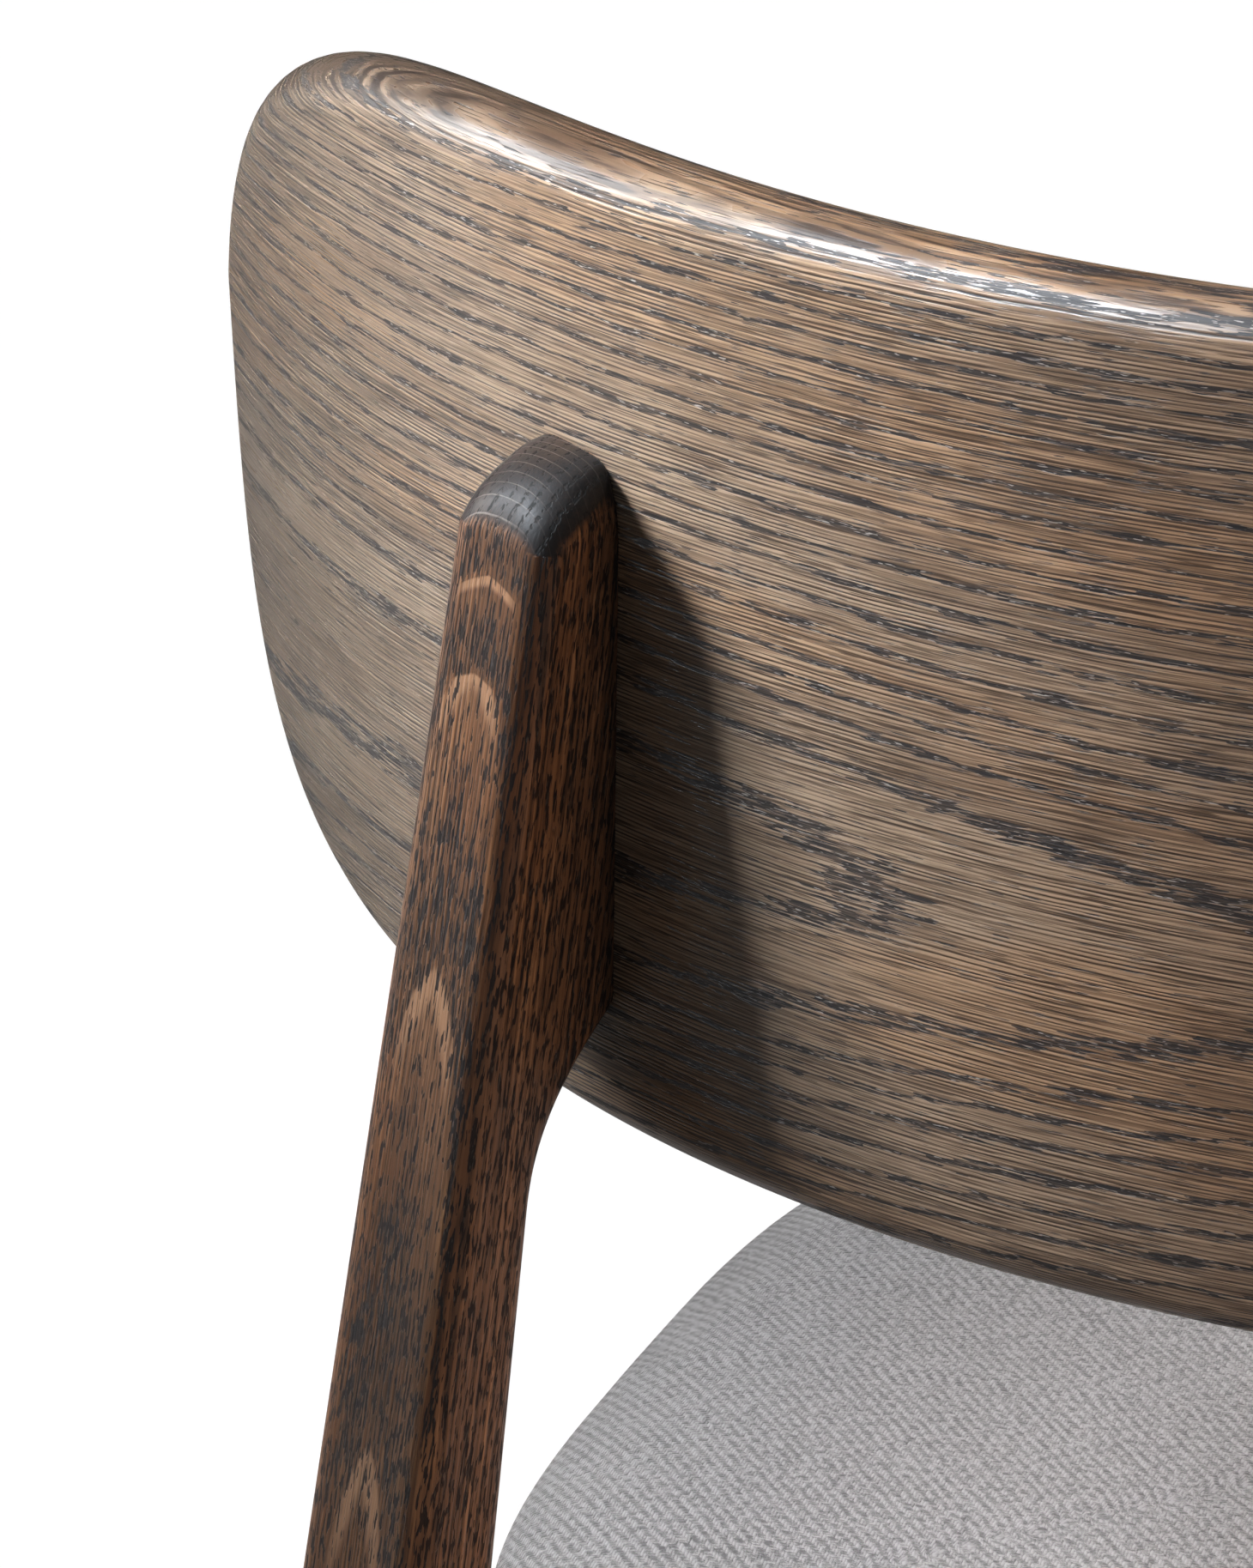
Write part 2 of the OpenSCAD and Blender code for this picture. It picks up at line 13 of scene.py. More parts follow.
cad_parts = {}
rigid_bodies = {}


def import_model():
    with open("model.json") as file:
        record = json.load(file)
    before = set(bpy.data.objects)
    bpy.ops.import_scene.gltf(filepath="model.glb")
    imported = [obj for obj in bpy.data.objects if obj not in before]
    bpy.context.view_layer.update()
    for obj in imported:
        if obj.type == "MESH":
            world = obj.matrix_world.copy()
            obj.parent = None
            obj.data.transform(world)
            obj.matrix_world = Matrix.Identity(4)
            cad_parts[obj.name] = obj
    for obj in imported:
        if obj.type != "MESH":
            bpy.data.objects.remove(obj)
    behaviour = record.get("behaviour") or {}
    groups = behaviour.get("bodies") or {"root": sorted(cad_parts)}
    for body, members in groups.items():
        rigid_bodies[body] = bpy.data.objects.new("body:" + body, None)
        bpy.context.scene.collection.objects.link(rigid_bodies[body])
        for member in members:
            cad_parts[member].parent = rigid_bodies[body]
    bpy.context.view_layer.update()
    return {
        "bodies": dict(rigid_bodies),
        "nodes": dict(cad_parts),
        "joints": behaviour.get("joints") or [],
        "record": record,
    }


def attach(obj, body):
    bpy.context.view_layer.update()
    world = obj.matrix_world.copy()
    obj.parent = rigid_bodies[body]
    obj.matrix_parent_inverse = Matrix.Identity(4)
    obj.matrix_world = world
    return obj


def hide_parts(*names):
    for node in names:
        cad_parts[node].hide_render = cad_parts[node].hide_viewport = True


# Sizes are in millimetres, as in the part's source, until a mesh is made. Lamps and camera are in metres.
MM = 0.001

# Backrest: a flat board of these sizes, bent to its radius and leant back
BACK_HALF = 313.0
BACK_RADIUS = 338.0
BACK_LEVEL = 685.0
BACK_RISE = 115.5
BACK_DROP = 101.6
BACK_SHOULDER = 35.0
BACK_DIP = 9.2
BACK_ROUND = 10.5
BACK_EVEN = 5.0
BACK_LEAN = np.radians(6.85)
TOP_SQUARE, TOP_ROUND = 7.34, 1.31
LOW_SQUARE, LOW_ROUND = 5.96, 3.23
BACK_Y = 214.764
REAR_FACE_R = BACK_RADIUS + BACK_ROUND

# Legs: the rear pair run up behind the backrest as posts, each with a pad against it and a dome on top
POST_X, POST_Y = 168.8, 2.4
LEG_TURN = np.radians(22)
LEG_SPLAY, REAR_RAKE, FRONT_RAKE = 0.128, 0.011, 0.05
POST_W, POST_D = 26.4, 16.8
LEG_W, LEG_D, FOOT_W = 35.6, 31.6, 25.0
FOOT_BEVEL, LEG_CORNER, DOME_CORNER = 1.5, 6.0, 6.5
GLIDE_H = 5.0
RAIL_TOP = 424.0
DOME_Z, DOME_START, DOME_TOP = 719.0, 722.0, 737.6
DOME_SQUARE, DOME_OPEN = 0.45, 0.7
PAD_Z, FILLET_H, FILLET_CURVE = 622.0, 46.0, 2.6
PAD_EXTRA = 6.0
GLUE_GAP = 0.12
FRONT_RISE, FRONT_ROUND = 11.0, 9.0

# Seat: it ends a little behind the middle of the backrest and stands a little past the front legs
SEAT_HALF_W, SEAT_HALF_D = 213.5, 215.0
SEAT_BEHIND, SEAT_PAST_LEGS = 1.3, 1.0
SEAT_MID_Y = BACK_Y + SEAT_BEHIND - SEAT_HALF_D
FRONT_TOP_Y = SEAT_BEHIND - 2 * SEAT_HALF_D + SEAT_PAST_LEGS
SEAT_SQUARE = 3.11
SEAT_LOW, SEAT_SWELL, SEAT_HIGH = 424.3, 442.0, 463.0
SEAT_DOME, SEAT_DRAW = 4.0, 5.0
CROWN_SPACING, CROWN_FLAT, CROWN_ROUND = 0.92, 4, 1.25
COVER_T, COVER_TURN = 1.2, 24.0
COVER_RINGS, FOAM_RINGS = 40, 24
FOAM_INSET = 3.0

# Cloth: the band over which its hold lets go, and how far it may move outwards and into the foam
HELD_Z, HELD_BAND = SEAT_LOW + 8.0, 6.0
SWELL_MOST, SINK_MOST = 1.8, 0.3
CLOTH_PRESSURE, CLOTH_FRAMES = 2.5, 20

# Directions seen from above: across a right-hand leg, and out of its rear face
ACROSS = np.array([np.cos(LEG_TURN), -np.sin(LEG_TURN)])
BEHIND = np.array([np.sin(LEG_TURN), np.cos(LEG_TURN)])
DOME_SLOPE = LEG_SPLAY * ACROSS[0]


def mix(a, b, t):
    """From a at 0 to b at 1."""
    return a + (b - a) * t


# Meshes

def make_piece(name, points, faces, material, grain=None, fields=None, sharp=None):
    """A mesh object from points in millimetres, with its grain coordinates kept as an attribute."""
    mesh = bpy.data.meshes.new(name)
    mesh.from_pydata((np.asarray(points) * MM).tolist(), [], [list(map(int, f)) for f in faces])
    mesh.validate()
    mesh.update()
    if grain is not None:
        layer = mesh.attributes.new("grain", "FLOAT_VECTOR", "POINT")
        layer.data.foreach_set("vector", np.asarray(grain, np.float32).ravel())
    for key, values in (fields or {}).items():
        layer = mesh.attributes.new(key, "FLOAT", "POINT")
        layer.data.foreach_set("value", np.asarray(values, np.float32))
    mesh.shade_smooth()
    if sharp:
        mesh.set_sharp_from_angle(angle=np.radians(sharp))
    mesh.materials.append(material)
    piece = bpy.data.objects.new(name, mesh)
    bpy.context.scene.collection.objects.link(piece)
    return piece


def facing_out(points, faces):
    """The faces, flipped if they make a solid of negative volume."""
    points = np.asarray(points, float)
    volume = 0.0
    for f in faces:
        a = points[f[0]]
        for i in range(1, len(f) - 1):
            volume += np.dot(a, np.cross(points[f[i]], points[f[i + 1]]))
    return faces if volume > 0 else [tuple(reversed(f)) for f in faces]


def share_along_grain(points, faces, grain_direction):
    """How much the surface at each point faces along the grain: 1 at end grain."""
    points = np.asarray(points, float)
    normals = np.zeros_like(points)
    for f in faces:
        q = points[list(f)]
        n = np.zeros(3)
        for i in range(1, len(f) - 1):
            n += np.cross(q[i] - q[0], q[i + 1] - q[0])
        normals[list(f)] += n
    normals /= np.maximum(np.linalg.norm(normals, axis=1, keepdims=True), 1e-9)
    return np.abs((normals * grain_direction).sum(1))


# Backrest

def board_outline(steps):
    """Upper and lower edge of the flat board as points, and the inward directions at them."""
    u = BACK_HALF * np.sin(np.pi / 2 * np.arange(-steps, steps + 1) / steps)
    x = np.abs(u) / BACK_HALF
    top = BACK_SHOULDER - BACK_DIP * (1 - x ** 2) + (BACK_RISE - BACK_SHOULDER) \
        * np.maximum(0, 1 - x ** TOP_SQUARE) ** (1 / TOP_ROUND)
    low = BACK_SHOULDER - (BACK_DROP + BACK_SHOULDER) \
        * np.maximum(0, 1 - x ** LOW_SQUARE) ** (1 / LOW_ROUND)
    ring = np.concatenate([np.stack([u, top], 1), np.stack([u, low], 1)[-2:0:-1]])
    along = np.roll(ring, -1, 0) - np.roll(ring, 1, 0)
    along /= np.linalg.norm(along, axis=1, keepdims=True)
    inward = np.stack([along[:, 1], -along[:, 0]], 1)
    # The directions are averaged over a few millimetres, so that the edge turns evenly at the shoulder
    step = np.linalg.norm(np.roll(ring, -1, 0) - ring, axis=1)
    place = np.concatenate([[0], np.cumsum(step)[:-1]])
    total = step.sum()
    gap = np.abs(place[:, None] - place[None, :])
    gap = np.minimum(gap, total - gap)
    weight = np.exp(-(gap / BACK_EVEN) ** 2) * (step + np.roll(step, 1))[None, :]
    inward = weight @ inward
    inward /= np.linalg.norm(inward, axis=1, keepdims=True)
    return ring, inward


def bend(flat):
    """Points (along, up, out) of the flat board, bent to its radius and leant back."""
    turn = flat[:, 0] / BACK_RADIUS
    reach = BACK_RADIUS + flat[:, 2]
    y = BACK_RADIUS - reach * np.cos(turn)
    return np.stack([
        reach * np.sin(turn),
        BACK_Y - y * np.cos(BACK_LEAN) + flat[:, 1] * np.sin(BACK_LEAN),
        BACK_LEVEL + flat[:, 1] * np.cos(BACK_LEAN) + y * np.sin(BACK_LEAN)], 1)


def edge_ring(ring, inward, angle):
    """One ring of the rounded edge: -90 degrees is the sitter's face, and 90 degrees is the rear face."""
    drawn_in = ring + inward * BACK_ROUND * (1 - np.cos(angle))
    return np.column_stack([drawn_in, np.full(len(ring), BACK_ROUND * np.sin(angle))])


def fill_face(points, first, n, columns, rows):
    """Fills a flat face, whose rim of n points starts at first, with columns of points and faces."""
    grid = {}
    for j in range(1, columns):
        top, low = first + j, first + n - j
        grid[j] = [top]
        for r in range(1, rows):
            grid[j].append(len(points))
            points = np.vstack([points, mix(points[top], points[low], r / rows)])
        grid[j].append(low)
    faces = []
    for j in range(1, columns - 1):
        for r in range(rows):
            faces.append((grid[j][r], grid[j + 1][r], grid[j + 1][r + 1], grid[j][r + 1]))
    for r in range(rows):
        faces.append((first, grid[1][r], grid[1][r + 1]))
        faces.append((grid[columns - 1][r], first + columns, grid[columns - 1][r + 1]))
    return points, faces


def make_backrest(material, steps=90, edge_steps=18, rows=16):
    ring, inward = board_outline(steps)
    n = len(ring)
    angles = np.linspace(-np.pi / 2, np.pi / 2, edge_steps + 1)
    points = np.concatenate([edge_ring(ring, inward, a) for a in angles])
    faces = []
    for k in range(edge_steps):
        for i in range(n):
            j = (i + 1) % n
            faces.append((k * n + i, (k + 1) * n + i, (k + 1) * n + j, k * n + j))
    points, front = fill_face(points, 0, n, 2 * steps, rows)
    points, rear = fill_face(points, edge_steps * n, n, 2 * steps, rows)
    faces += front + [tuple(reversed(f)) for f in rear]
    bent = bend(points)
    faces = facing_out(bent, faces)
    turn = points[:, 0] / BACK_RADIUS
    grain_direction = np.stack([np.cos(turn), np.sin(turn) * -np.cos(BACK_LEAN),
                                np.sin(turn) * np.sin(BACK_LEAN)], 1)
    return make_piece("backrest_board", bent, faces, material, grain=points,
                      fields={"end_grain": share_along_grain(bent, faces, grain_direction)})


# Legs

def low_share(z):
    """How far a height lies from the foot to the top of the rails."""
    return (z - GLIDE_H) / (RAIL_TOP - GLIDE_H)


def high_share(z):
    """How far a height lies from the top of the rails to the dome."""
    return (z - RAIL_TOP) / (DOME_Z - RAIL_TOP)


def leg_wide(z):
    return mix(FOOT_W, LEG_W, low_share(z)) if z < RAIL_TOP else mix(LEG_W, POST_W, high_share(z))


def leg_deep(z):
    return mix(FOOT_W, LEG_D, low_share(z)) if z < RAIL_TOP else mix(LEG_D, POST_D, high_share(z))


def rear_face(z):
    """The middle of a rear leg's outer face at a height, seen from above, with the backrest's middle as 0."""
    return np.array([POST_X + LEG_SPLAY * (BACK_LEVEL - z), -POST_Y + REAR_RAKE * (BACK_LEVEL - z)])


def front_face(z):
    """The front leg's outer face, in the mirrored frame in which it is worked out as a rear leg."""
    return np.array([POST_X + LEG_SPLAY * (BACK_LEVEL - z), -(FRONT_TOP_Y - FRONT_RAKE * (RAIL_TOP - z))])


def pad_depth(z, side=0.0, gap=0.0):
    """Distance from a post's rear face forward to the backrest, at a distance to the side of its middle."""
    squash = np.cos(BACK_LEAN)
    axis_y = -(BACK_RADIUS - (z - BACK_LEVEL) * np.sin(BACK_LEAN)) / squash
    x, y = rear_face(z) + ACROSS * side
    p = np.array([x, (y - axis_y) * squash])
    q = np.array([BEHIND[0], BEHIND[1] * squash])
    a, b, c = q @ q, p @ q, p @ p - (REAR_FACE_R + gap) ** 2
    return (b - np.sqrt(b * b - a * c)) / a


def section_points(w, d, r, setback, per_corner=8, per_side=8):
    """A rounded rectangle as (side, depth) points: depth 0 is the outer face, and depth grows inwards."""
    # The corners stay just under half of a side, so that no two of their points meet
    r = min(r, w / 2.02, (d - setback) / 2.02)
    out = []
    corners = [(w / 2 - r, setback + r, -90), (w / 2 - r, d - r, 0), (-w / 2 + r, d - r, 90),
               (-w / 2 + r, setback + r, 180)]
    for c, (cx, cy, start) in enumerate(corners):
        for k in range(per_corner + 1):
            t = np.radians(start + 90 * k / per_corner)
            out.append((cx + r * np.cos(t), cy + r * np.sin(t)))
        nx, ny, start_next = corners[(c + 1) % 4]
        t = np.radians(start_next)
        ahead = (nx + r * np.cos(t), ny + r * np.sin(t))
        for k in range(1, per_side):
            out.append(tuple(mix(np.array(out[-1 if k == 1 else -k]), np.array(ahead), k / per_side)))
    return np.array(out)


def foot_levels():
    """Levels of a leg up to the rails: height, width, depth, corner, setback and slope to the side."""
    foot_z = GLIDE_H + FOOT_BEVEL
    levels = [(GLIDE_H, FOOT_W - 2 * FOOT_BEVEL, FOOT_W - FOOT_BEVEL, LEG_CORNER - FOOT_BEVEL,
               FOOT_BEVEL, 0.0)]
    levels += [(z, leg_wide(z), leg_deep(z), LEG_CORNER, 0.0, 0.0)
               for z in [foot_z] + list(np.linspace(20, RAIL_TOP, 22))]
    return levels


def dome_levels():
    """The dome narrows to a blunt end, and its corners open out as it does."""
    depth = pad_depth(DOME_START)
    levels = []
    for t in np.radians(np.linspace(0, 88.5, 34)):
        w = leg_wide(DOME_START) * np.cos(t) ** DOME_SQUARE
        corner = LEG_CORNER + DOME_CORNER * np.sin(t) ** DOME_OPEN
        levels.append((DOME_START + (DOME_TOP - DOME_START) * np.sin(t), w, depth + PAD_EXTRA,
                       min(corner, w / 2.04), depth * (1 - np.cos(t)), DOME_SLOPE))
    return levels


def post_levels():
    """Above the rails come the plain post, the fillet, the pad and the dome."""
    levels = foot_levels()
    fillet_z = PAD_Z - FILLET_H
    levels += [(z, leg_wide(z), leg_deep(z), LEG_CORNER, 0.0, 0.0)
               for z in np.linspace(RAIL_TOP + 8, fillet_z - 6, 16)]
    for z in np.linspace(fillet_z, PAD_Z, 26):
        share = (z - fillet_z) / FILLET_H
        deep = mix(leg_deep(z), pad_depth(z) + PAD_EXTRA, share ** FILLET_CURVE)
        levels.append((z, leg_wide(z), deep, LEG_CORNER, 0.0, 0.0))
    levels += [(z, leg_wide(z), pad_depth(z) + PAD_EXTRA, LEG_CORNER, 0.0, 0.0)
               for z in np.linspace(PAD_Z + 4, DOME_Z - 1, 18)]
    return levels + dome_levels()


def front_levels():
    """A front leg ends in a rounded top just above the rails."""
    levels = foot_levels()
    for t in np.radians(np.linspace(0, 90, 14)):
        inset = FRONT_ROUND * (1 - np.cos(t))
        z = RAIL_TOP + FRONT_RISE - FRONT_ROUND * (1 - np.sin(t))
        corner = min(LEG_CORNER, (LEG_D - 2 * inset) / 2.2)
        levels.append((z, LEG_W - 2 * inset, LEG_D - inset, corner, inset, 0.0))
    return levels


def make_leg(name, levels, face, side, front, material):
    """A leg through its levels: side is 1 or -1, and a front leg is a rear one turned to the front."""
    points, grain = [], []
    for low, w, d, r, setback, slope in levels:
        for a, deep in section_points(w, d, r, setback):
            z = low + slope * a
            if not front and z > PAD_Z - FILLET_H:
                deep = min(deep, pad_depth(z, a, GLUE_GAP))
            x, y = face(z) + ACROSS * a - BEHIND * deep
            points.append((side * x, BACK_Y + (-y if front else y), z))
            grain.append((z, side * a, deep))
    n = len(section_points(10, 10, 2, 0))
    faces = [tuple(range(n)), tuple(reversed(range(len(points) - n, len(points))))]
    for k in range(len(levels) - 1):
        for i in range(n):
            j = (i + 1) % n
            faces.append((k * n + i, k * n + j, (k + 1) * n + j, (k + 1) * n + i)[::-1])
    faces = facing_out(points, faces)
    axis = np.array([-side * LEG_SPLAY, 0, 1.0])
    return make_piece(name, points, faces, material, grain=np.array(grain), sharp=38,
                      fields={"end_grain": share_along_grain(points, faces, axis / np.linalg.norm(axis))})


# Seat

def seat_profile(inset, rings):
    """Rings of the cushion from its crown to the edge of the cloth turned under it: (drawn in by, height)."""
    half = SEAT_HALF_W - inset
    high = SEAT_HIGH - inset
    out = []
    for share in np.linspace(0, 1, rings):
        x = np.sin(share * np.pi / 2) ** CROWN_SPACING
        a = np.arccos(np.clip(x, 0, 1) ** CROWN_FLAT)
        z = mix(SEAT_SWELL, high, np.sin(a) ** CROWN_ROUND) + SEAT_DOME * (1 - x * x)
        out.append((inset + half * (1 - x), z))
    low = SEAT_LOW + inset
    for t in np.linspace(1, 0, 6)[1:]:
        out.append((inset + SEAT_DRAW * (1 - t) ** 2, mix(low, SEAT_SWELL, t)))
    for k in (0.25, 0.5, 0.75, 1.0):
        out.append((inset + mix(SEAT_DRAW, COVER_TURN - inset, k), low))
    return out


def seat_outline(angle, away):
    """A point of the seat's outline, seen from above and drawn in by a distance."""
    c, s = np.cos(angle), np.sin(angle)
    x = np.sign(c) * abs(c) ** (2 / SEAT_SQUARE) * (SEAT_HALF_W - away)
    y = np.sign(s) * abs(s) ** (2 / SEAT_SQUARE) * (SEAT_HALF_D - away)
    return x, y


def seat_points(profile, last):
    """Points of the cushion, the flat cloth's coordinates at them, and their numbers by ring and place."""
    points, flat, index = [], [], {}
    runs = [0.0]
    for (a0, z0), (a1, z1) in zip(profile, profile[1:]):
        runs.append(runs[-1] + np.hypot(a1 - a0, z1 - z0))
    for k, (away, z) in enumerate(profile):
        top = min(k, last)
        count = max(8 * top, 1)
        stretch = runs[top] / (SEAT_HALF_W - profile[top][0]) if k else 1.0
        for i in range(count):
            angle = 2 * np.pi * i / count + np.pi / 4
            reach = np.hypot(*seat_outline(angle, profile[top][0]))
            run = reach * stretch + runs[k] - runs[top]
            x, y = seat_outline(angle, away)
            length = max(np.hypot(x, y), 1e-6)
            index[k, i] = len(points)
            points.append((x, SEAT_MID_Y + y, z))
            flat.append((x / length * run, y / length * run, 0.0))
    return np.array(points), np.array(flat), index


def wider_ring(index, k):
    """Faces between ring k and the one inside it, which has two points fewer on each of four sides."""
    outer, inner = 8 * k, 8 * (k - 1)
    faces = []
    for side in range(4):
        a, p = side * outer // 4, side * inner // 4
        faces.append((index[k - 1, p], index[k, (a - 1) % outer], index[k, a], index[k, a + 1]))
        for i in range(1, outer // 4 - 1):
            faces.append((index[k - 1, p + i - 1], index[k, a + i], index[k, a + i + 1],
                          index[k - 1, (p + i) % inner]))
    return faces


def even_ring(index, k, count):
    """Faces between ring k and the one before it, which has as many points."""
    faces = []
    for i in range(count):
        j = (i + 1) % count
        faces.append((index[k - 1, i], index[k - 1, j], index[k, j], index[k, i]))
    return faces


def seat_surface(inset, rings):
    """Cushion as a square grid wrapped over the seat: points, faces and the flat cloth's coordinates."""
    profile = seat_profile(inset, rings)
    last = rings - 1
    points, flat, index = seat_points(profile, last)
    faces = []
    for k in range(1, len(profile)):
        faces += wider_ring(index, k) if k <= last else even_ring(index, k, 8 * last)
    return points, faces, flat


def close_bottom(points, faces, around):
    """The faces with one more that closes the ring of points left open under the seat."""
    first = len(points) - around
    return faces + [tuple(range(first, len(points)))]


def hold_low_points(piece, group_name):
    """Vertex group of the points at or below the height up to which the cloth is held."""
    group = piece.vertex_groups.new(name=group_name)
    for v in piece.data.vertices:
        share = np.clip((HELD_Z - v.co.z / MM) / HELD_BAND, 0, 1)
        group.add([v.index], float(share), "REPLACE")


def swollen(piece):
    """Where a cloth simulation under pressure takes the piece's points, in metres."""
    hold_low_points(piece, "held")
    cloth = piece.modifiers.new("cloth", "CLOTH")
    s = cloth.settings
    s.quality = 6
    s.mass = 0.3
    s.tension_stiffness = s.compression_stiffness = 25
    s.shear_stiffness = 8
    s.bending_stiffness = 2.0
    s.use_pressure = True
    s.uniform_pressure_force = CLOTH_PRESSURE
    s.vertex_group_mass = "held"
    s.effector_weights.gravity = 0
    cloth.collision_settings.use_collision = False
    cloth.point_cache.frame_start, cloth.point_cache.frame_end = 1, CLOTH_FRAMES
    for frame in range(1, CLOTH_FRAMES + 1):
        bpy.context.scene.frame_set(frame)
    found = piece.evaluated_get(bpy.context.evaluated_depsgraph_get())
    end = np.array([v.co for v in found.data.vertices])
    piece.modifiers.remove(cloth)
    piece.vertex_groups.clear()
    return end


def puff(piece):
    """Lets the cloth swell. No point goes further than the most allowed, outwards or into the foam."""
    start = np.array([v.co for v in piece.data.vertices])
    out = np.array([v.normal for v in piece.data.vertices])
    move = swollen(piece) - start
    sunk = np.minimum(0, (move * out).sum(axis=1, keepdims=True) + SINK_MOST * MM)
    move -= sunk * out
    far = np.linalg.norm(move, axis=1, keepdims=True)
    move *= np.minimum(1, SWELL_MOST * MM / np.maximum(far, 1e-9))
    piece.data.vertices.foreach_set("co", (start + move).ravel())
    bpy.context.scene.frame_set(1)


def make_cover(material):
    points, faces, flat = seat_surface(0.0, COVER_RINGS)
    faces = facing_out(points, close_bottom(points, faces, 8 * (COVER_RINGS - 1)))
    piece = make_piece("seat_cover_cloth", points, faces, material, grain=flat)
    puff(piece)
    # The sheet that closed the cushion under the board was only there for the pressure
    keep = [list(p.vertices) for p in piece.data.polygons if len(p.vertices) <= 4]
    co = np.array([v.co for v in piece.data.vertices]) / MM
    bpy.data.objects.remove(piece)
    piece = make_piece("seat_cover_cloth", co, keep, material, grain=flat)
    finer = piece.modifiers.new("finer", "SUBSURF")
    finer.levels = finer.render_levels = 1
    thick = piece.modifiers.new("thick", "SOLIDIFY")
    thick.thickness, thick.offset = COVER_T * MM, -1
    return piece


def make_foam(material):
    points, faces, flat = seat_surface(FOAM_INSET, FOAM_RINGS)
    faces = facing_out(points, close_bottom(points, faces, 8 * (FOAM_RINGS - 1)))
    return make_piece("seat_foam_pad", points, faces, material, grain=flat)


# Materials

# Half a turn, for the sine nodes
HALF_TURN = 3.1416


class Graph:
    """Builds a material's nodes with short calls. A value is a number or another node's socket."""

    def __init__(self, name):
        self.material = bpy.data.materials.new(name)
        self.material.use_nodes = True
        self.nodes = self.material.node_tree.nodes
        self.links = self.material.node_tree.links
        self.shader = self.nodes["Principled BSDF"]
        self.count = 0

    def make(self, kind, **settings):
        node = self.nodes.new(kind)
        node.location = (-200 - 180 * (self.count // 8), 300 - 160 * (self.count % 8))
        self.count += 1
        for key, value in settings.items():
            setattr(node, key, value)
        return node

    def put(self, socket, value):
        """Links a socket to another node's, or sets it to a number or a colour."""
        if isinstance(value, bpy.types.NodeSocket):
            self.links.new(value, socket)
        elif hasattr(value, "__len__") and hasattr(socket.default_value, "__len__"):
            socket.default_value = tuple(value) + (1.0,) * (len(socket.default_value) - len(value))
        else:
            socket.default_value = value

    def math(self, operation, a, b=0.0, c=0.0):
        node = self.make("ShaderNodeMath", operation=operation)
        for socket, value in zip(node.inputs, (a, b, c)):
            self.put(socket, value)
        return node.outputs[0]

    def add(self, a, b):
        return self.math("ADD", a, b)

    def less(self, a, b):
        return self.math("SUBTRACT", a, b)

    def times(self, a, b):
        return self.math("MULTIPLY", a, b)

    def smooth(self, value, low, high, start=0.0, end=1.0):
        """Smooth step of a value from low to high."""
        node = self.make("ShaderNodeMapRange", interpolation_type="SMOOTHSTEP")
        keys = ("Value", "From Min", "From Max", "To Min", "To Max")
        for key, v in zip(keys, (value, low, high, start, end)):
            self.put(node.inputs[key], v)
        return node.outputs[0]

    def scaled(self, vector, scale, shift=(0, 0, 0)):
        node = self.make("ShaderNodeVectorMath", operation="MULTIPLY_ADD")
        self.put(node.inputs[0], vector)
        node.inputs[1].default_value = scale
        node.inputs[2].default_value = shift
        return node.outputs[0]

    def noise(self, vector, scale, shift=(0, 0, 0), detail=0.0, rough=0.5, bend=0.0):
        node = self.make("ShaderNodeTexNoise")
        self.put(node.inputs["Vector"], self.scaled(vector, scale, shift))
        node.inputs["Scale"].default_value = 1.0
        node.inputs["Detail"].default_value = detail
        node.inputs["Roughness"].default_value = rough
        node.inputs["Distortion"].default_value = bend
        return node.outputs[0]

    def bent(self, value, at_zero, slope, knots):
        """A line that starts with one slope and takes another at each knot."""
        out = self.add(self.times(value, slope), at_zero)
        for knot, new in knots:
            out = self.add(out, self.times(self.math("MAXIMUM", self.less(value, knot), 0.0), new - slope))
            slope = new
        return out

    def centred(self, value, size):
        """A noise value moved to lie about zero, times a size."""
        return self.times(self.less(value, 0.5), size)

    def split(self, vector):
        node = self.make("ShaderNodeSeparateXYZ")
        self.put(node.inputs[0], vector)
        return node.outputs[0], node.outputs[1], node.outputs[2]

    def join(self, x, y, z):
        node = self.make("ShaderNodeCombineXYZ")
        for socket, value in zip(node.inputs, (x, y, z)):
            self.put(socket, value)
        return node.outputs[0]

    def blend(self, share, a, b, kind="MIX"):
        node = self.make("ShaderNodeMix", data_type="RGBA", blend_type=kind)
        self.put(node.inputs[0], share)
        self.put(node.inputs[6], a)
        self.put(node.inputs[7], b)
        return node.outputs[2]

    def tinted(self, share, color, tint):
        """A colour multiplied by a tint where the share is 1."""
        return self.blend(share, color, self.blend(1.0, color, tint, "MULTIPLY"))

    def attribute(self, name, vector=False):
        node = self.make("ShaderNodeAttribute", attribute_name=name)
        return node.outputs["Vector" if vector else "Fac"]

    def object_mm(self, axes=("X", "Y", "Z"), shift=(0, 0, 0)):
        """Object coordinates in millimetres, their axes put in another order."""
        parts = dict(zip("XYZ", self.split(self.make("ShaderNodeTexCoord").outputs["Object"])))
        vector = self.join(*[parts[a] for a in axes])
        return self.scaled(vector, (1000, 1000, 1000), shift)

    def bump(self, height, strength, distance):
        """Relief on the shader's normal, whose distance is in metres."""
        node = self.make("ShaderNodeBump")
        node.inputs["Strength"].default_value = strength
        node.inputs["Distance"].default_value = distance
        self.put(node.inputs["Height"], height)
        self.put(self.shader.inputs["Normal"], node.outputs[0])

    def finish(self, **inputs):
        """Sets the shader's inputs, with _ for a space in their names, and returns the material."""
        for key, value in inputs.items():
            self.put(self.shader.inputs[key.replace("_", " ")], value)
        return self.material


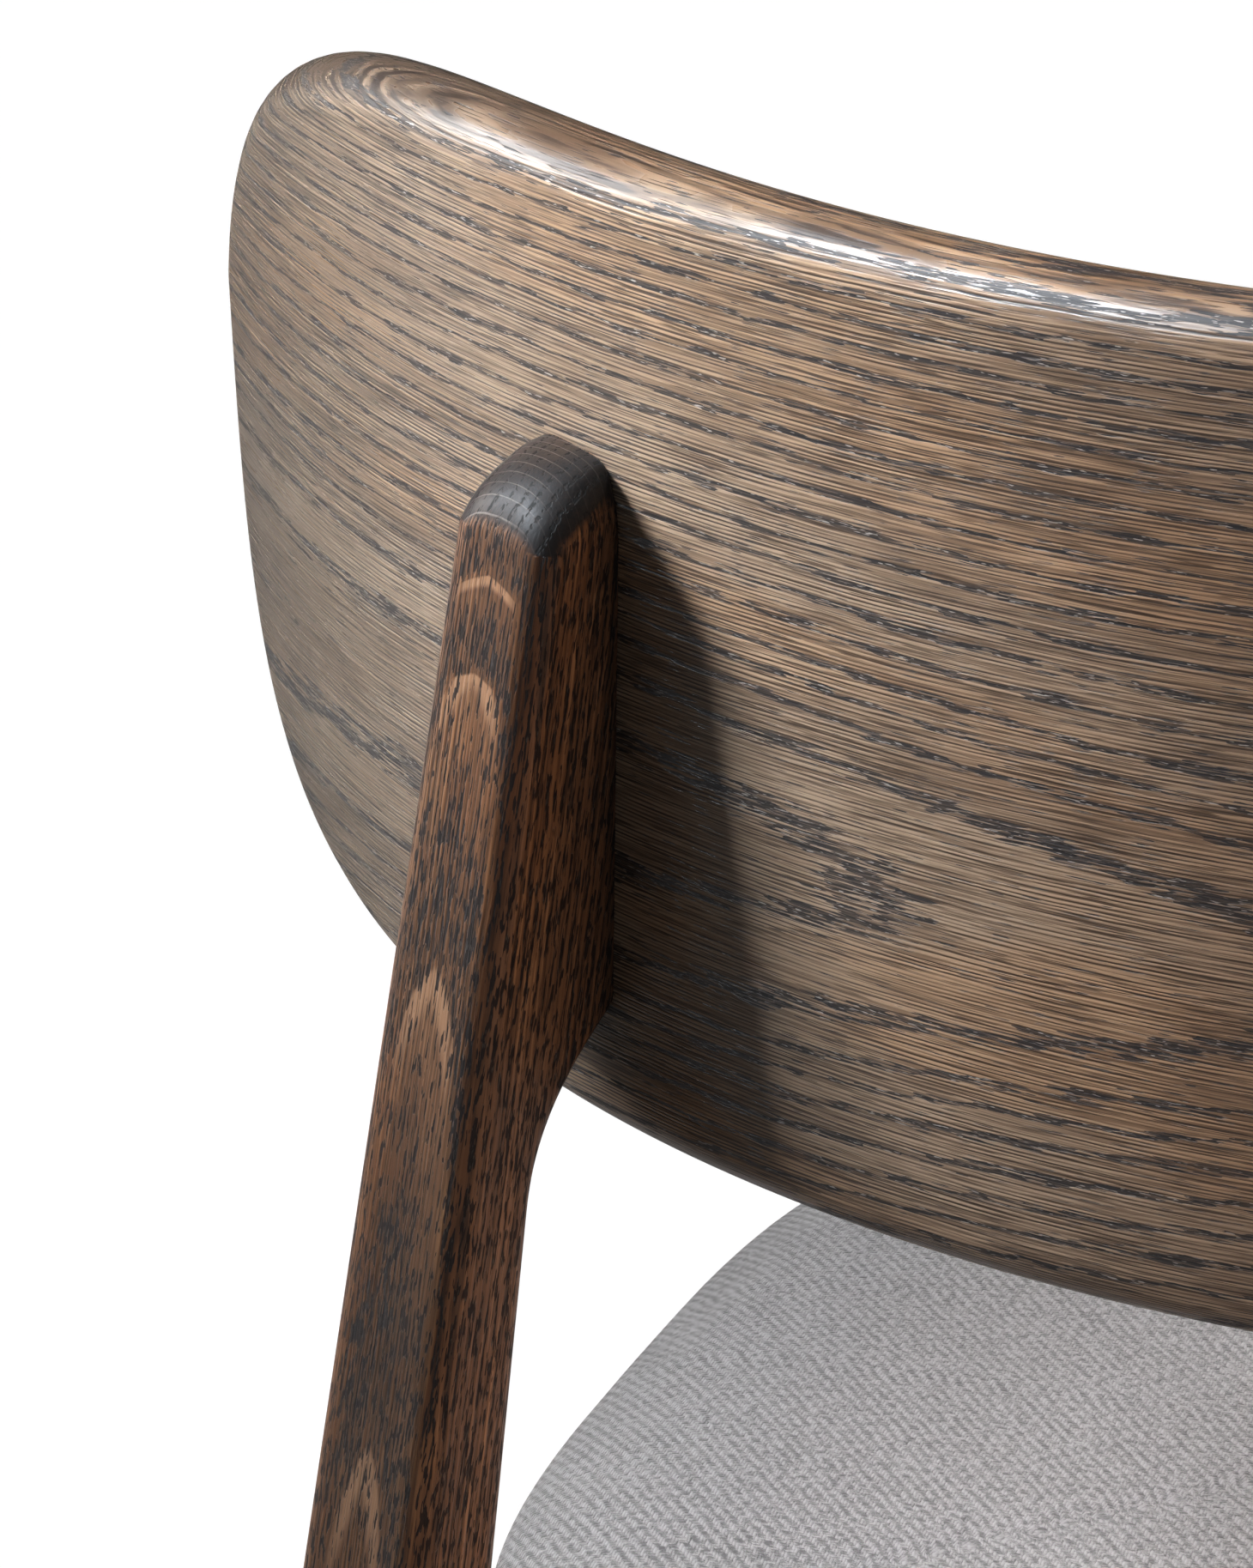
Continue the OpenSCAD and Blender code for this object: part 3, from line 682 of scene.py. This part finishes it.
# The backrest's oak: where its year rings lie, how its pores and lines look, and its colours. A bent line is
# written as its value at zero, its first slope, and the places where it takes another slope.
OAK_LOOK = dict(
    centre=-22.0, centre_drift=-0.027, lean=True, point=0.0, wave=0.6, sway=0.3,
    pith=(56.6, -0.045, ((67, -0.064), (92, -0.053), (107, -0.035), (130, -0.025), (150, -0.011))),
    rings=(-11.5, 0.2, ((67.5, 0.25), (71.5, 0.345), (77.3, 0.238))),
    early=0.32, ragged=0.20, late=0.0, late_width=0.3,
    pore_many=0.41, pore_few=0.66, pore_size=(0.11, 1.9), pore_low=0.75, hair=0.75, flecks=1.0,
    line_pitch=0.90, line_gain=1.45, patches=0.25,
    pale=(0.46, 0.360, 0.268), brown=(0.225, 0.162, 0.114), dark=(0.060, 0.040, 0.028),
    # fleck is the colour of painted glints in the pores, partly pale residue
    pore=(0.014, 0.013, 0.016), fleck=(0.60, 0.58, 0.56), late_color=(0.45, 0.27, 0.15),
    warm=(1.12, 0.98, 0.84),
    end=(0.0105, 0.0088, 0.0090), end_brown=(0.036, 0.023, 0.016), end_line=(0.16, 0.14, 0.13),
    end_dot=(0.002, 0.002, 0.002), end_low=0.16, end_high=0.36,
    # edge and tip paint shade on the backrest: on its rounded edge (partly a darker stain on the edge grain)
    # and at its far ends
    turn=0.0, turn_tint=(1.10, 0.97, 0.89), edge=0.0, edge_tint=(0.34, 0.28, 0.25),
    tip=0.0, tip_color=(0.045, 0.042, 0.040),
    specular=0.5, seed=0.0)


def find_rings(g, look, w):
    """Year rings: cylinders round a pith that lies along the grain, outside the piece."""
    w.along, w.across, w.deep = g.split(w.at)
    wave = g.centred(g.noise(w.at, (0.006, 0.016, 0.016), w.shift, detail=1.0), look.wave * 6)
    sway = g.centred(g.noise(w.at, (0.028, 0.07, 0.07), w.shift, detail=1.0), look.sway * 4)
    w.drift = g.add(wave, sway)
    side = g.less(g.less(w.across, look.centre), g.times(w.along, look.centre_drift))
    side = g.add(side, w.drift)
    if look.lean:
        low = g.math("MAXIMUM", g.times(side, -1.0), 0.0)
        lean = g.bent(low, 0.0, 0.92, ((9.1, -0.393), (30.5, 0.0)))
        side = g.less(side, g.times(g.smooth(w.along, 55, 105), lean))
    back = g.add(w.deep, g.bent(w.along, *look.pith))
    radius = g.math("SQRT", g.add(g.times(side, side), g.times(back, back)))
    w.aside = g.math("ABSOLUTE", side)
    w.ring = g.bent(g.add(radius, g.times(w.aside, look.point)), *look.rings)


def find_seasons(g, look, w):
    """Early wood starts abruptly at each ring and holds the large pores. Late wood ends a ring, paler."""
    torn = g.centred(g.noise(w.at, (0.10, 1.0, 1.0), w.shift, detail=1.0), look.ragged * 3)
    phase = g.math("FRACT", g.add(w.ring, torn))
    w.early = g.times(g.smooth(phase, 0.0, 0.04), g.smooth(phase, 0.4 * look.early, look.early, 1.0, 0.0))
    w.whole = g.math("FRACT", w.ring)
    late = g.times(g.smooth(w.whole, 1.0 - look.late_width, 1.0 - 0.5 * look.late_width),
                   g.smooth(w.whole, 1.0 - 0.2 * look.late_width, 1.0, 1.0, 0.0))
    late = g.times(late, g.smooth(w.aside, 4.0, 9.0, 1.0, 0.0))
    w.late = g.times(late, g.smooth(w.along, 430, 500, 0.35, 1.0))


def find_pores(g, look, w):
    """Pores are cut along their length on the face, and are many in early wood."""
    length, width = look.pore_size
    w.pores = g.noise(w.at, (length, width, width), w.shift, detail=1.5, rough=0.6)
    limit = g.smooth(w.early, 0.0, 1.0, look.pore_few, look.pore_many)
    w.pore = g.smooth(g.less(w.pores, limit), -0.010, 0.022)
    fine_pores = g.noise(w.at, (0.08, 2.7, 2.7), w.shift, detail=1.0)
    w.fine = g.smooth(fine_pores, 0.57, 0.66)


def find_lines(g, look, w):
    """Fine ribs of harder and softer wood."""
    line = g.add(g.add(w.across, g.times(w.deep, 0.7)), g.times(w.drift, 0.6))
    pull = g.centred(g.noise(w.at, (0.012, 0.35, 0.35), w.shift, detail=1.0), 9.0)
    shake = g.centred(g.noise(w.at, (0.07, 0.8, 0.8), w.shift, detail=1.0), 3.2)
    rib = g.math("SINE", g.add(g.times(line, 2 * HALF_TURN / look.line_pitch), g.add(pull, shake)))
    stripe = g.noise(g.join(w.along, line, 0.0), (0.035, 2.0 / look.line_pitch, 0.0), w.shift,
                     detail=1.5, rough=0.6)
    stripe = g.less(g.smooth(stripe, 0.34, 0.66), 0.5)
    gain = g.smooth(g.noise(w.at, (0.02, 0.11, 0.11), w.shift, detail=1.0), 0.3, 0.7, 0.6, 1.25)
    ribs = g.times(g.less(g.smooth(rib, -1.0, 0.5), 0.6), 0.50)
    w.lines = g.times(g.add(ribs, g.times(stripe, 0.55)), gain)


def bare_wood_color(g, look, w):
    """The wood's own colour, before its pores: lines, broad patches and each ring's own tone."""
    own_tone = g.noise(g.join(g.math("FLOOR", w.ring), 0.0, 0.0), (1.37, 0.0, 0.0), w.shift)
    w.broad = g.centred(g.noise(w.at, (0.008, 0.05, 0.05), w.shift, detail=2.0), 2.0)
    uneven = g.add(g.times(w.broad, look.patches), g.centred(own_tone, 0.5))
    tone = g.add(g.times(w.lines, look.line_gain), uneven)
    tone = g.add(g.less(0.53, g.times(w.early, 0.18)), tone)
    color = g.blend(g.smooth(tone, 0.0, 0.5), look.dark, look.brown)
    color = g.blend(g.smooth(tone, 0.5, 1.0), color, look.pale)
    heat = g.smooth(g.noise(w.at, (0.007, 0.03, 0.03), (4, 9, 2), detail=2.0), 0.46, 0.66)
    color = g.tinted(g.times(heat, 0.8), color, look.warm)
    return g.blend(g.times(w.late, look.late), color, look.late_color)


def pored_color(g, look, w, color):
    """Dark hairs and pores, some of them with a pale fleck: a painted glint, partly pale residue in the pore.
    """
    color = g.blend(g.times(w.fine, look.hair), color, look.dark)
    streak = g.noise(w.at, (0.16, 4.4, 4.4), w.shift, detail=1.0)
    filled = g.smooth(streak, 0.36, 0.60, 1.0, look.pore_low)
    color = g.blend(g.times(w.pore, filled), color, look.pore)
    # Pale flecks in the pores: painted glints, partly pale residue
    glints = g.smooth(g.noise(w.at, (0.45, 3.4, 3.4), w.shift, detail=1.0), 0.61, 0.68)
    fleck = g.times(g.times(glints, g.smooth(w.pores, 0.46, 0.54)), g.add(0.08, w.early))
    return g.blend(g.times(fleck, 0.6 * look.flecks), color, look.fleck)


def board_tint_and_shade(g, look, w, color):
    """The backrest's tones: warmer to one side, and painted shade on its rounded edge (partly a darker stain
    on the edge grain) and at its far ends.
    """
    from_middle = g.math("ABSOLUTE", w.along)
    if look.turn:
        color = g.tinted(g.smooth(w.along, 130, 10, 0.0, look.turn), color, look.turn_tint)
    # Painted shade on the rounded edge, stronger away from the middle, partly a darker stain on the edge
    # grain
    if look.edge:
        rounded = g.times(g.smooth(w.deep, 10.45, 8.5), g.smooth(from_middle, 80, 170, 0.5, 1.3))
        color = g.tinted(g.times(rounded, look.edge), color, look.edge_tint)
    # Painted shade towards the board's far ends
    if look.tip:
        color = g.blend(g.times(g.smooth(from_middle, 130, 290), look.tip), color, look.tip_color)
    return color


def end_color(g, look, w, color):
    """End grain: near black, with a pale arc at each ring and the pores as dots in rows."""
    dots = g.noise(w.at, (0.4, 1.4, 1.4), w.shift, detail=1.0)
    unsteady = g.centred(g.noise(w.at, (0.1, 0.2, 0.2), w.shift), 4.0)
    rows = g.math("SINE", g.add(g.times(w.across, 2.33), unsteady))
    w.dots = g.times(g.smooth(dots, 0.50, 0.55), g.smooth(rows, 0.2, 0.8, 0.15, 1.0))
    arc = g.times(g.smooth(w.whole, 0.88, 0.94), g.smooth(w.whole, 0.96, 1.0, 1.0, 0.0))
    tip = g.blend(g.smooth(w.broad, 0.0, 0.45), look.end, look.end_brown)
    tip = g.blend(g.times(w.dots, 0.9), tip, look.end_dot)
    tip = g.blend(g.times(arc, g.smooth(w.broad, -0.2, 0.5, 0.1, 0.9)), tip, look.end_line)
    return g.blend(g.times(w.end, 0.95), color, tip)


def oak(name, place, end_share=None, **changes):
    """Smoked oak. The wood's sockets are kept in w, and the look's numbers in look."""
    look = SimpleNamespace(**{**OAK_LOOK, **changes})
    g = Graph(name)
    w = SimpleNamespace(at=place(g), shift=(look.seed * 7.3, look.seed * 3.1, look.seed * 5.7))
    find_rings(g, look, w)
    find_seasons(g, look, w)
    find_pores(g, look, w)
    find_lines(g, look, w)
    color = pored_color(g, look, w, bare_wood_color(g, look, w))
    color = board_tint_and_shade(g, look, w, color)
    rough = g.add(look.rough, g.add(g.times(w.pore, 0.25), g.times(w.lines, -0.08)))
    height = g.less(g.times(w.lines, 0.60), g.add(g.times(w.pore, 0.9), g.times(w.fine, 0.2)))
    if end_share:
        w.end = g.smooth(end_share(g), look.end_low, look.end_high)
        color = end_color(g, look, w, color)
        height = g.times(height, g.smooth(w.end, 0.0, 1.0, 1.0, 0.0))
        height = g.less(height, g.times(g.times(w.end, w.dots), 0.5))
        end_rough = g.add(0.47, g.times(w.dots, 0.2))
        rough = g.add(g.times(rough, g.less(1.0, w.end)), g.times(w.end, end_rough))
    g.bump(height, 0.5, 0.00025)
    return g.finish(Base_Color=color, Roughness=rough, Specular_IOR_Level=look.specular)


def yarn_tone(g, own, other, shift):
    """Each yarn's own tone, which changes slowly along it."""
    along = g.join(g.math("FLOOR", own), g.times(other, 0.35), 0.0)
    return g.centred(g.noise(along, (1.7, 1.0, 0.0), shift, detail=1.0), 1.5)


def woven_wool(name):
    """Light grey melange cloth: a two-over-two twill of mottled yarns, whose ribs run at about 45 degrees."""
    g = Graph(name)
    at = g.attribute("grain", vector=True)
    x, y, _ = g.split(at)
    warp_pitch, weft_pitch = 0.90, 1.02
    dark, pale = (0.20, 0.195, 0.200), (0.62, 0.61, 0.62)
    wander = g.centred(g.noise(at, (0.05, 0.05, 0.05), detail=1.0), 1.6)
    u = g.times(g.add(x, wander), 1 / warp_pitch)
    v = g.times(g.less(y, wander), 1 / weft_pitch)
    warp = g.math("ABSOLUTE", g.math("SINE", g.times(u, HALF_TURN)))
    weft = g.math("ABSOLUTE", g.math("SINE", g.times(v, HALF_TURN)))
    unsteady = g.centred(g.noise(at, (0.6, 0.6, 0.6), (2, 6, 1), detail=1.0), 2.4)
    rib = g.math("SINE", g.add(g.times(g.add(u, v), HALF_TURN / 2), unsteady))
    over = g.smooth(rib, -0.35, 0.35)
    under = g.less(1.0, over)
    thread = g.add(g.times(over, warp), g.times(under, weft))
    mottle = g.noise(at, (0.55, 0.55, 0.55), detail=2.0, rough=0.6)
    fuzz = g.noise(at, (2.6, 2.6, 2.6), detail=2.0, rough=0.7)
    tone = g.add(g.times(over, yarn_tone(g, u, v, (3, 5, 7))), g.times(under, yarn_tone(g, v, u, (9, 2, 4))))
    tone = g.add(g.add(0.52, tone), g.add(g.centred(mottle, 1.7), g.centred(fuzz, 1.2)))
    tone = g.add(tone, g.add(g.times(g.less(thread, 0.6), 0.34), g.times(rib, 0.26)))
    height = g.add(g.add(thread, g.times(rib, 0.5)), g.centred(fuzz, 0.5))
    g.bump(height, 0.5, 0.0004)
    return g.finish(Base_Color=g.blend(g.smooth(tone, -0.1, 1.1), dark, pale), Roughness=0.92,
                    Sheen_Weight=0.6, Sheen_Roughness=0.35, Specular_IOR_Level=0.2)


def foam_pad(name):
    """Yellowish open-cell foam."""
    g = Graph(name)
    at = g.object_mm()
    cells = g.noise(at, (1.2, 1.2, 1.2), detail=3.0, rough=0.7)
    color = g.blend(g.smooth(cells, 0.35, 0.65), (0.62, 0.54, 0.34), (0.86, 0.79, 0.57))
    g.bump(cells, 0.6, 0.0008)
    return g.finish(Base_Color=color, Roughness=0.95, Specular_IOR_Level=0.2)


def plywood(name):
    """Birch plywood: veneer figure on the faces, plies of alternating tone at the edges."""
    g = Graph(name)
    at = g.object_mm()
    _, _, z = g.split(at)
    board_low, two_plies = 425.8, 4.8
    ply = g.math("FRACT", g.math("DIVIDE", g.less(z, board_low), two_plies))
    layer = g.smooth(g.math("PINGPONG", ply, 0.5), 0.22, 0.28)
    figure = g.noise(at, (0.01, 0.10, 0.3), detail=3.0, bend=1.5)
    color = g.blend(g.smooth(figure, 0.35, 0.65), (0.50, 0.36, 0.21), (0.68, 0.52, 0.34))
    color = g.blend(g.times(layer, 0.35), color, (0.34, 0.23, 0.13))
    g.bump(figure, 0.15, 0.0003)
    return g.finish(Base_Color=color, Roughness=0.6)


def beech(name):
    """Planed beech with its small dark flecks."""
    g = Graph(name)
    at = g.object_mm()
    figure = g.noise(at, (0.2, 0.2, 0.9), detail=3.0)
    fleck = g.smooth(g.noise(at, (1.2, 1.2, 4.0), detail=1.0), 0.58, 0.66)
    color = g.blend(g.smooth(figure, 0.3, 0.7), (0.50, 0.33, 0.20), (0.70, 0.51, 0.33))
    color = g.blend(g.times(fleck, 0.4), color, (0.36, 0.22, 0.13))
    g.bump(figure, 0.2, 0.0002)
    return g.finish(Base_Color=color, Roughness=0.55)


def lining(name):
    """Black non-woven lining: pressed fibres with a fine grid of weld points."""
    g = Graph(name)
    at = g.object_mm()
    x, y, _ = g.split(at)
    dots = g.times(g.math("SINE", g.times(x, HALF_TURN)), g.math("SINE", g.times(y, HALF_TURN)))
    fibres = g.noise(at, (0.8, 0.8, 0.8), detail=5.0, rough=0.75)
    color = g.blend(g.smooth(fibres, 0.35, 0.7), (0.010, 0.010, 0.011), (0.035, 0.035, 0.037))
    g.bump(g.add(fibres, g.times(g.smooth(dots, 0.3, 0.9), -0.5)), 0.5, 0.0004)
    return g.finish(Base_Color=color, Roughness=0.85, Specular_IOR_Level=0.25)


def steel(name):
    """Zinc-plated steel with faint blotches."""
    g = Graph(name)
    at = g.object_mm()
    blotch = g.noise(at, (0.5, 0.5, 0.5), detail=4.0)
    color = g.blend(g.smooth(blotch, 0.3, 0.7), (0.52, 0.53, 0.56), (0.68, 0.69, 0.71))
    scratch = g.noise(at, (6, 6, 1), detail=2.0)
    g.bump(scratch, 0.1, 0.0001)
    return g.finish(Base_Color=color, Metallic=1.0, Roughness=g.smooth(blotch, 0.3, 0.7, 0.38, 0.26))


def glide_plastic(name):
    """Near-black plastic, worn unevenly."""
    g = Graph(name)
    at = g.object_mm()
    grain = g.noise(at, (2.5, 2.5, 2.5), detail=2.0)
    wear = g.noise(at, (0.3, 0.3, 0.3), detail=4.0)
    color = g.blend(g.smooth(wear, 0.4, 0.7), (0.018, 0.017, 0.016), (0.040, 0.038, 0.035))
    g.bump(grain, 0.25, 0.0002)
    return g.finish(Base_Color=color, Roughness=g.smooth(wear, 0.3, 0.7, 0.48, 0.62))


def attribute_grain(g):
    return g.attribute("grain", vector=True)


def attribute_end(g):
    return g.attribute("end_grain")


def grain_along(axes, shift):
    """Grain coordinates of a CAD node: along the first of the axes named."""
    return lambda g: g.object_mm(axes, shift)


def post_oak(name, seed):
    """The legs' oak: redder and darker, with pale crescents where the late wood is cut flat."""
    return oak(name, attribute_grain, attribute_end, seed=seed, lean=False, point=0.03,
               centre=0.0, centre_drift=0.0, rings=(-43.5, 0.435, ()),
               pith=(126.47 + 0.9 * (seed - 1), 0.015, ((517, 0.0209), (627, 0.0348), (693, 0.115))),
               wave=0.4, early=0.85, late=0.95, late_width=0.15,
               pore_many=0.500, pore_few=0.585, pore_size=(0.20, 1.7), pore_low=0.9, hair=0.6, flecks=0.10,
               line_pitch=1.1, line_gain=0.6, patches=0.35,
               pale=(0.260, 0.140, 0.074), brown=(0.118, 0.059, 0.031), dark=(0.036, 0.018, 0.010),
               pore=(0.006, 0.004, 0.004), late_color=(0.33, 0.19, 0.112), rough=0.38, specular=0.33)


def rail_oak(name, axes, shift, seed):
    """The oak of rails and corner blocks, which keep their CAD meshes."""
    return oak(name, grain_along(axes, shift), seed=seed, lean=False, centre=0.0, centre_drift=0.0,
               pith=(60.0, 0.01, ()), rings=(0.0, 0.33, ()), wave=1.0, sway=0.6, early=0.5, late=0.3,
               pore_many=0.52, pore_few=0.63, flecks=0.15, line_gain=0.5,
               pale=(0.230, 0.122, 0.070), brown=(0.105, 0.053, 0.030), dark=(0.036, 0.018, 0.011),
               pore=(0.008, 0.007, 0.008), late_color=(0.22, 0.13, 0.08), rough=0.42)


# Putting the chair together

def repaint(node, material):
    """Gives a CAD node a material of this script."""
    slots = node.material_slots
    if not slots:
        node.data.materials.append(material)
    for entry in slots:
        entry.material = material


def stand_for(piece, node):
    """Lets a piece take the place of a CAD node and its body."""
    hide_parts(node)
    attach(piece, "root")


def dress_wood(nodes):
    # tip and edge paint shade on the board's far ends and on its rounded edge, the edge partly a darker stain
    board = oak("oak_backrest", attribute_grain, rough=0.29, tip=0.45, edge=0.55, turn=0.5)
    stand_for(make_backrest(board), "backrest")
    for label, side, seed in (("right", 1, 1.0), ("left", -1, 2.0)):
        rear = make_leg(f"rear_leg_{label}_post", post_levels(), rear_face, side, False,
                        post_oak(f"oak_rear_{label}", seed))
        stand_for(rear, f"rear_leg_{label}")
        front = make_leg(f"front_leg_{label}_post", front_levels(), front_face, side, True,
                         post_oak(f"oak_front_{label}", seed + 2))
        stand_for(front, f"front_leg_{label}")
    rail_shift, block_shift = (0, -395, 0), (0, 0, -408)
    for node, axes, seed in (("front_rail", "XZY", 5.0), ("rear_rail", "XZY", 6.0),
                             ("side_rail_right", "YZX", 7.0), ("side_rail_left", "YZX", 8.0)):
        repaint(nodes[node], rail_oak("oak_" + node, axes, rail_shift, seed))
    for i, node in enumerate(sorted(n for n in nodes if n.startswith("corner_block"))):
        repaint(nodes[node], rail_oak("oak_" + node, "XYZ", block_shift, 10.0 + i))
    wood = beech("beech_dowel")
    for node in ("rail_dowels", "backrest_dowels"):
        repaint(nodes[node], wood)


def dress_seat(nodes):
    cover = make_cover(woven_wool("wool_seat"))
    stand_for(cover, "seat_cover")
    stand_for(make_foam(foam_pad("foam_seat")), "seat_foam")
    repaint(nodes["seat_board"], plywood("plywood_seat"))
    repaint(nodes["dust_cover"], lining("lining_seat"))


def dress_fittings(nodes):
    metal = steel("steel_zinc")
    for node in ("block_screws", "seat_bolts", "seat_washers", "seat_tee_nuts", "glide_nails"):
        repaint(nodes[node], metal)
    repaint(nodes["foot_glides"], glide_plastic("plastic_glide"))


# Floor, lights and camera

def set_camera():
    """The photograph's camera, found from the backrest's silhouette and the seat's outline."""
    place = (-0.2042, 1.1062, 1.0292)
    right = Vector((-0.93195, -0.36216, 0.01763)).normalized()
    ahead = Vector((0.33428, -0.87701, -0.34511)).normalized()
    data = bpy.data.cameras.new("camera")
    data.lens = 123.4
    data.sensor_fit = "VERTICAL"
    data.sensor_height = data.sensor_width = 36.0
    data.clip_start, data.clip_end = 0.05, 60
    camera = bpy.data.objects.new("camera", data)
    bpy.context.scene.collection.objects.link(camera)
    up = right.cross(ahead).normalized()
    turn = Matrix((right, up, -ahead)).transposed()
    camera.matrix_world = Matrix.Translation(place) @ turn.to_4x4()
    bpy.context.scene.camera = camera


def floor_material():
    """White to the camera by its own colour and glow, so that no more light falls on the chair.

    Near the chair the glow is weaker, so that the floor keeps the shadow.
    """
    g = Graph("floor_white")
    path = g.make("ShaderNodeLightPath")
    seen = path.outputs["Is Camera Ray"]
    g.finish(Base_Color=g.blend(seen, (0.40, 0.40, 0.40), (0.90, 0.90, 0.90)), Roughness=0.8)
    glow = g.make("ShaderNodeEmission")
    glow.inputs["Strength"].default_value = 1.03
    both = g.make("ShaderNodeMixShader")
    mirrored = g.math("MAXIMUM", path.outputs["Is Glossy Ray"], path.outputs["Is Transmission Ray"])
    x, y, _ = g.split(g.object_mm())
    reach = g.math("SQRT", g.add(g.times(x, x), g.times(y, y)))
    white = g.smooth(reach, 450, 850, 0.80, 0.975)
    g.put(both.inputs[0], g.add(g.times(seen, white), g.times(mirrored, 0.15)))
    g.put(both.inputs[1], g.shader.outputs[0])
    g.put(both.inputs[2], glow.outputs[0])
    g.put(g.nodes["Material Output"].inputs["Surface"], both.outputs[0])
    return g.material


def set_floor():
    mesh = bpy.data.meshes.new("floor")
    half = 9.0
    corners = [(-half, -half, 0), (half, -half, 0), (half, half, 0), (-half, half, 0)]
    mesh.from_pydata(corners, [], [(0, 1, 2, 3)])
    floor = bpy.data.objects.new("floor", mesh)
    bpy.context.scene.collection.objects.link(floor)
    mesh.materials.append(floor_material())


def set_world(ambient):
    """White to the camera, and a faint light of the given strength to everything else."""
    world = bpy.data.worlds.new("studio")
    bpy.context.scene.world = world
    world.use_nodes = True
    nodes, links = world.node_tree.nodes, world.node_tree.links
    background = nodes["Background"]
    background.inputs["Color"].default_value = (1, 1, 1, 1)
    seen = nodes.new("ShaderNodeLightPath")
    strength = nodes.new("ShaderNodeMapRange")
    links.new(seen.outputs["Is Camera Ray"], strength.inputs["Value"])
    strength.inputs["To Min"].default_value = ambient
    strength.inputs["To Max"].default_value = 1.0
    links.new(strength.outputs[0], background.inputs["Strength"])


def add_light(name, aim, turn, rise, reach, size, power, spread=180):
    """A rectangular lamp that shines at a point: turn is counted from +Y towards +X, and rise from level."""
    turn, rise = np.radians(turn), np.radians(rise)
    away = Vector((np.sin(turn) * np.cos(rise), np.cos(turn) * np.cos(rise), np.sin(rise)))
    data = bpy.data.lights.new(name, "AREA")
    data.shape = "RECTANGLE"
    data.size, data.size_y = size
    data.energy = power
    data.spread = np.radians(spread)
    light = bpy.data.objects.new(name, data)
    bpy.context.scene.collection.objects.link(light)
    light.location = Vector(aim) + away * reach
    light.rotation_euler = (-away).to_track_quat("-Z", "Y").to_euler()
    light.visible_camera = False
    return light


def set_lights():
    """Soft lamps. The key, top and fill show in no highlight, and the shine and gloss are highlights only."""
    back = (0.08, 0.21, 0.725)
    key = add_light("key", aim=(-0.10, 0.235, 0.735), turn=81.7, rise=22, reach=1.0066, size=(0.18, 0.22),
                    power=1.97, spread=50)
    key.visible_glossy = False
    shine = add_light("shine", aim=back, turn=82, rise=24, reach=0.90, size=(0.34, 0.30), power=6.5)
    shine.visible_diffuse = False
    add_light("side", aim=back, turn=105, rise=12, reach=1.5, size=(0.40, 0.60), power=1.0)
    top = add_light("top", aim=(0.20, 0.02, 0.46), turn=100, rise=38, reach=0.9, size=(0.5, 0.4),
                    power=0.42, spread=70)
    add_light("front", aim=(0.0, 0.0, 0.5), turn=215, rise=32, reach=2.4, size=(1.2, 1.2), power=24)
    add_light("sky", aim=(0.0, 0.3, 0.4), turn=0, rise=89, reach=2.6, size=(2.4, 2.0), power=8)
    fill = add_light("fill", aim=back, turn=-85, rise=-4, reach=2.3, size=(1.2, 0.5), power=46)
    fill.data.color = (1.0, 0.74, 0.54)
    top.visible_glossy = fill.visible_glossy = False
    add_light("rim", aim=(0.22, 0.15, 0.45), turn=82, rise=15, reach=0.8, size=(0.20, 0.20),
              power=0.36, spread=50)
    gloss = add_light("gloss", aim=back, turn=47, rise=47, reach=1.6, size=(0.65, 0.45), power=58)
    gloss.data.color = (0.82, 0.91, 1.0)
    gloss.visible_diffuse = False


def main():
    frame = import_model()
    nodes = frame["nodes"]
    set_camera()
    dress_wood(nodes)
    dress_seat(nodes)
    dress_fittings(nodes)
    set_floor()
    set_world(ambient=0.01)
    set_lights()
    bpy.context.scene.view_settings.view_transform = "Standard"


main()
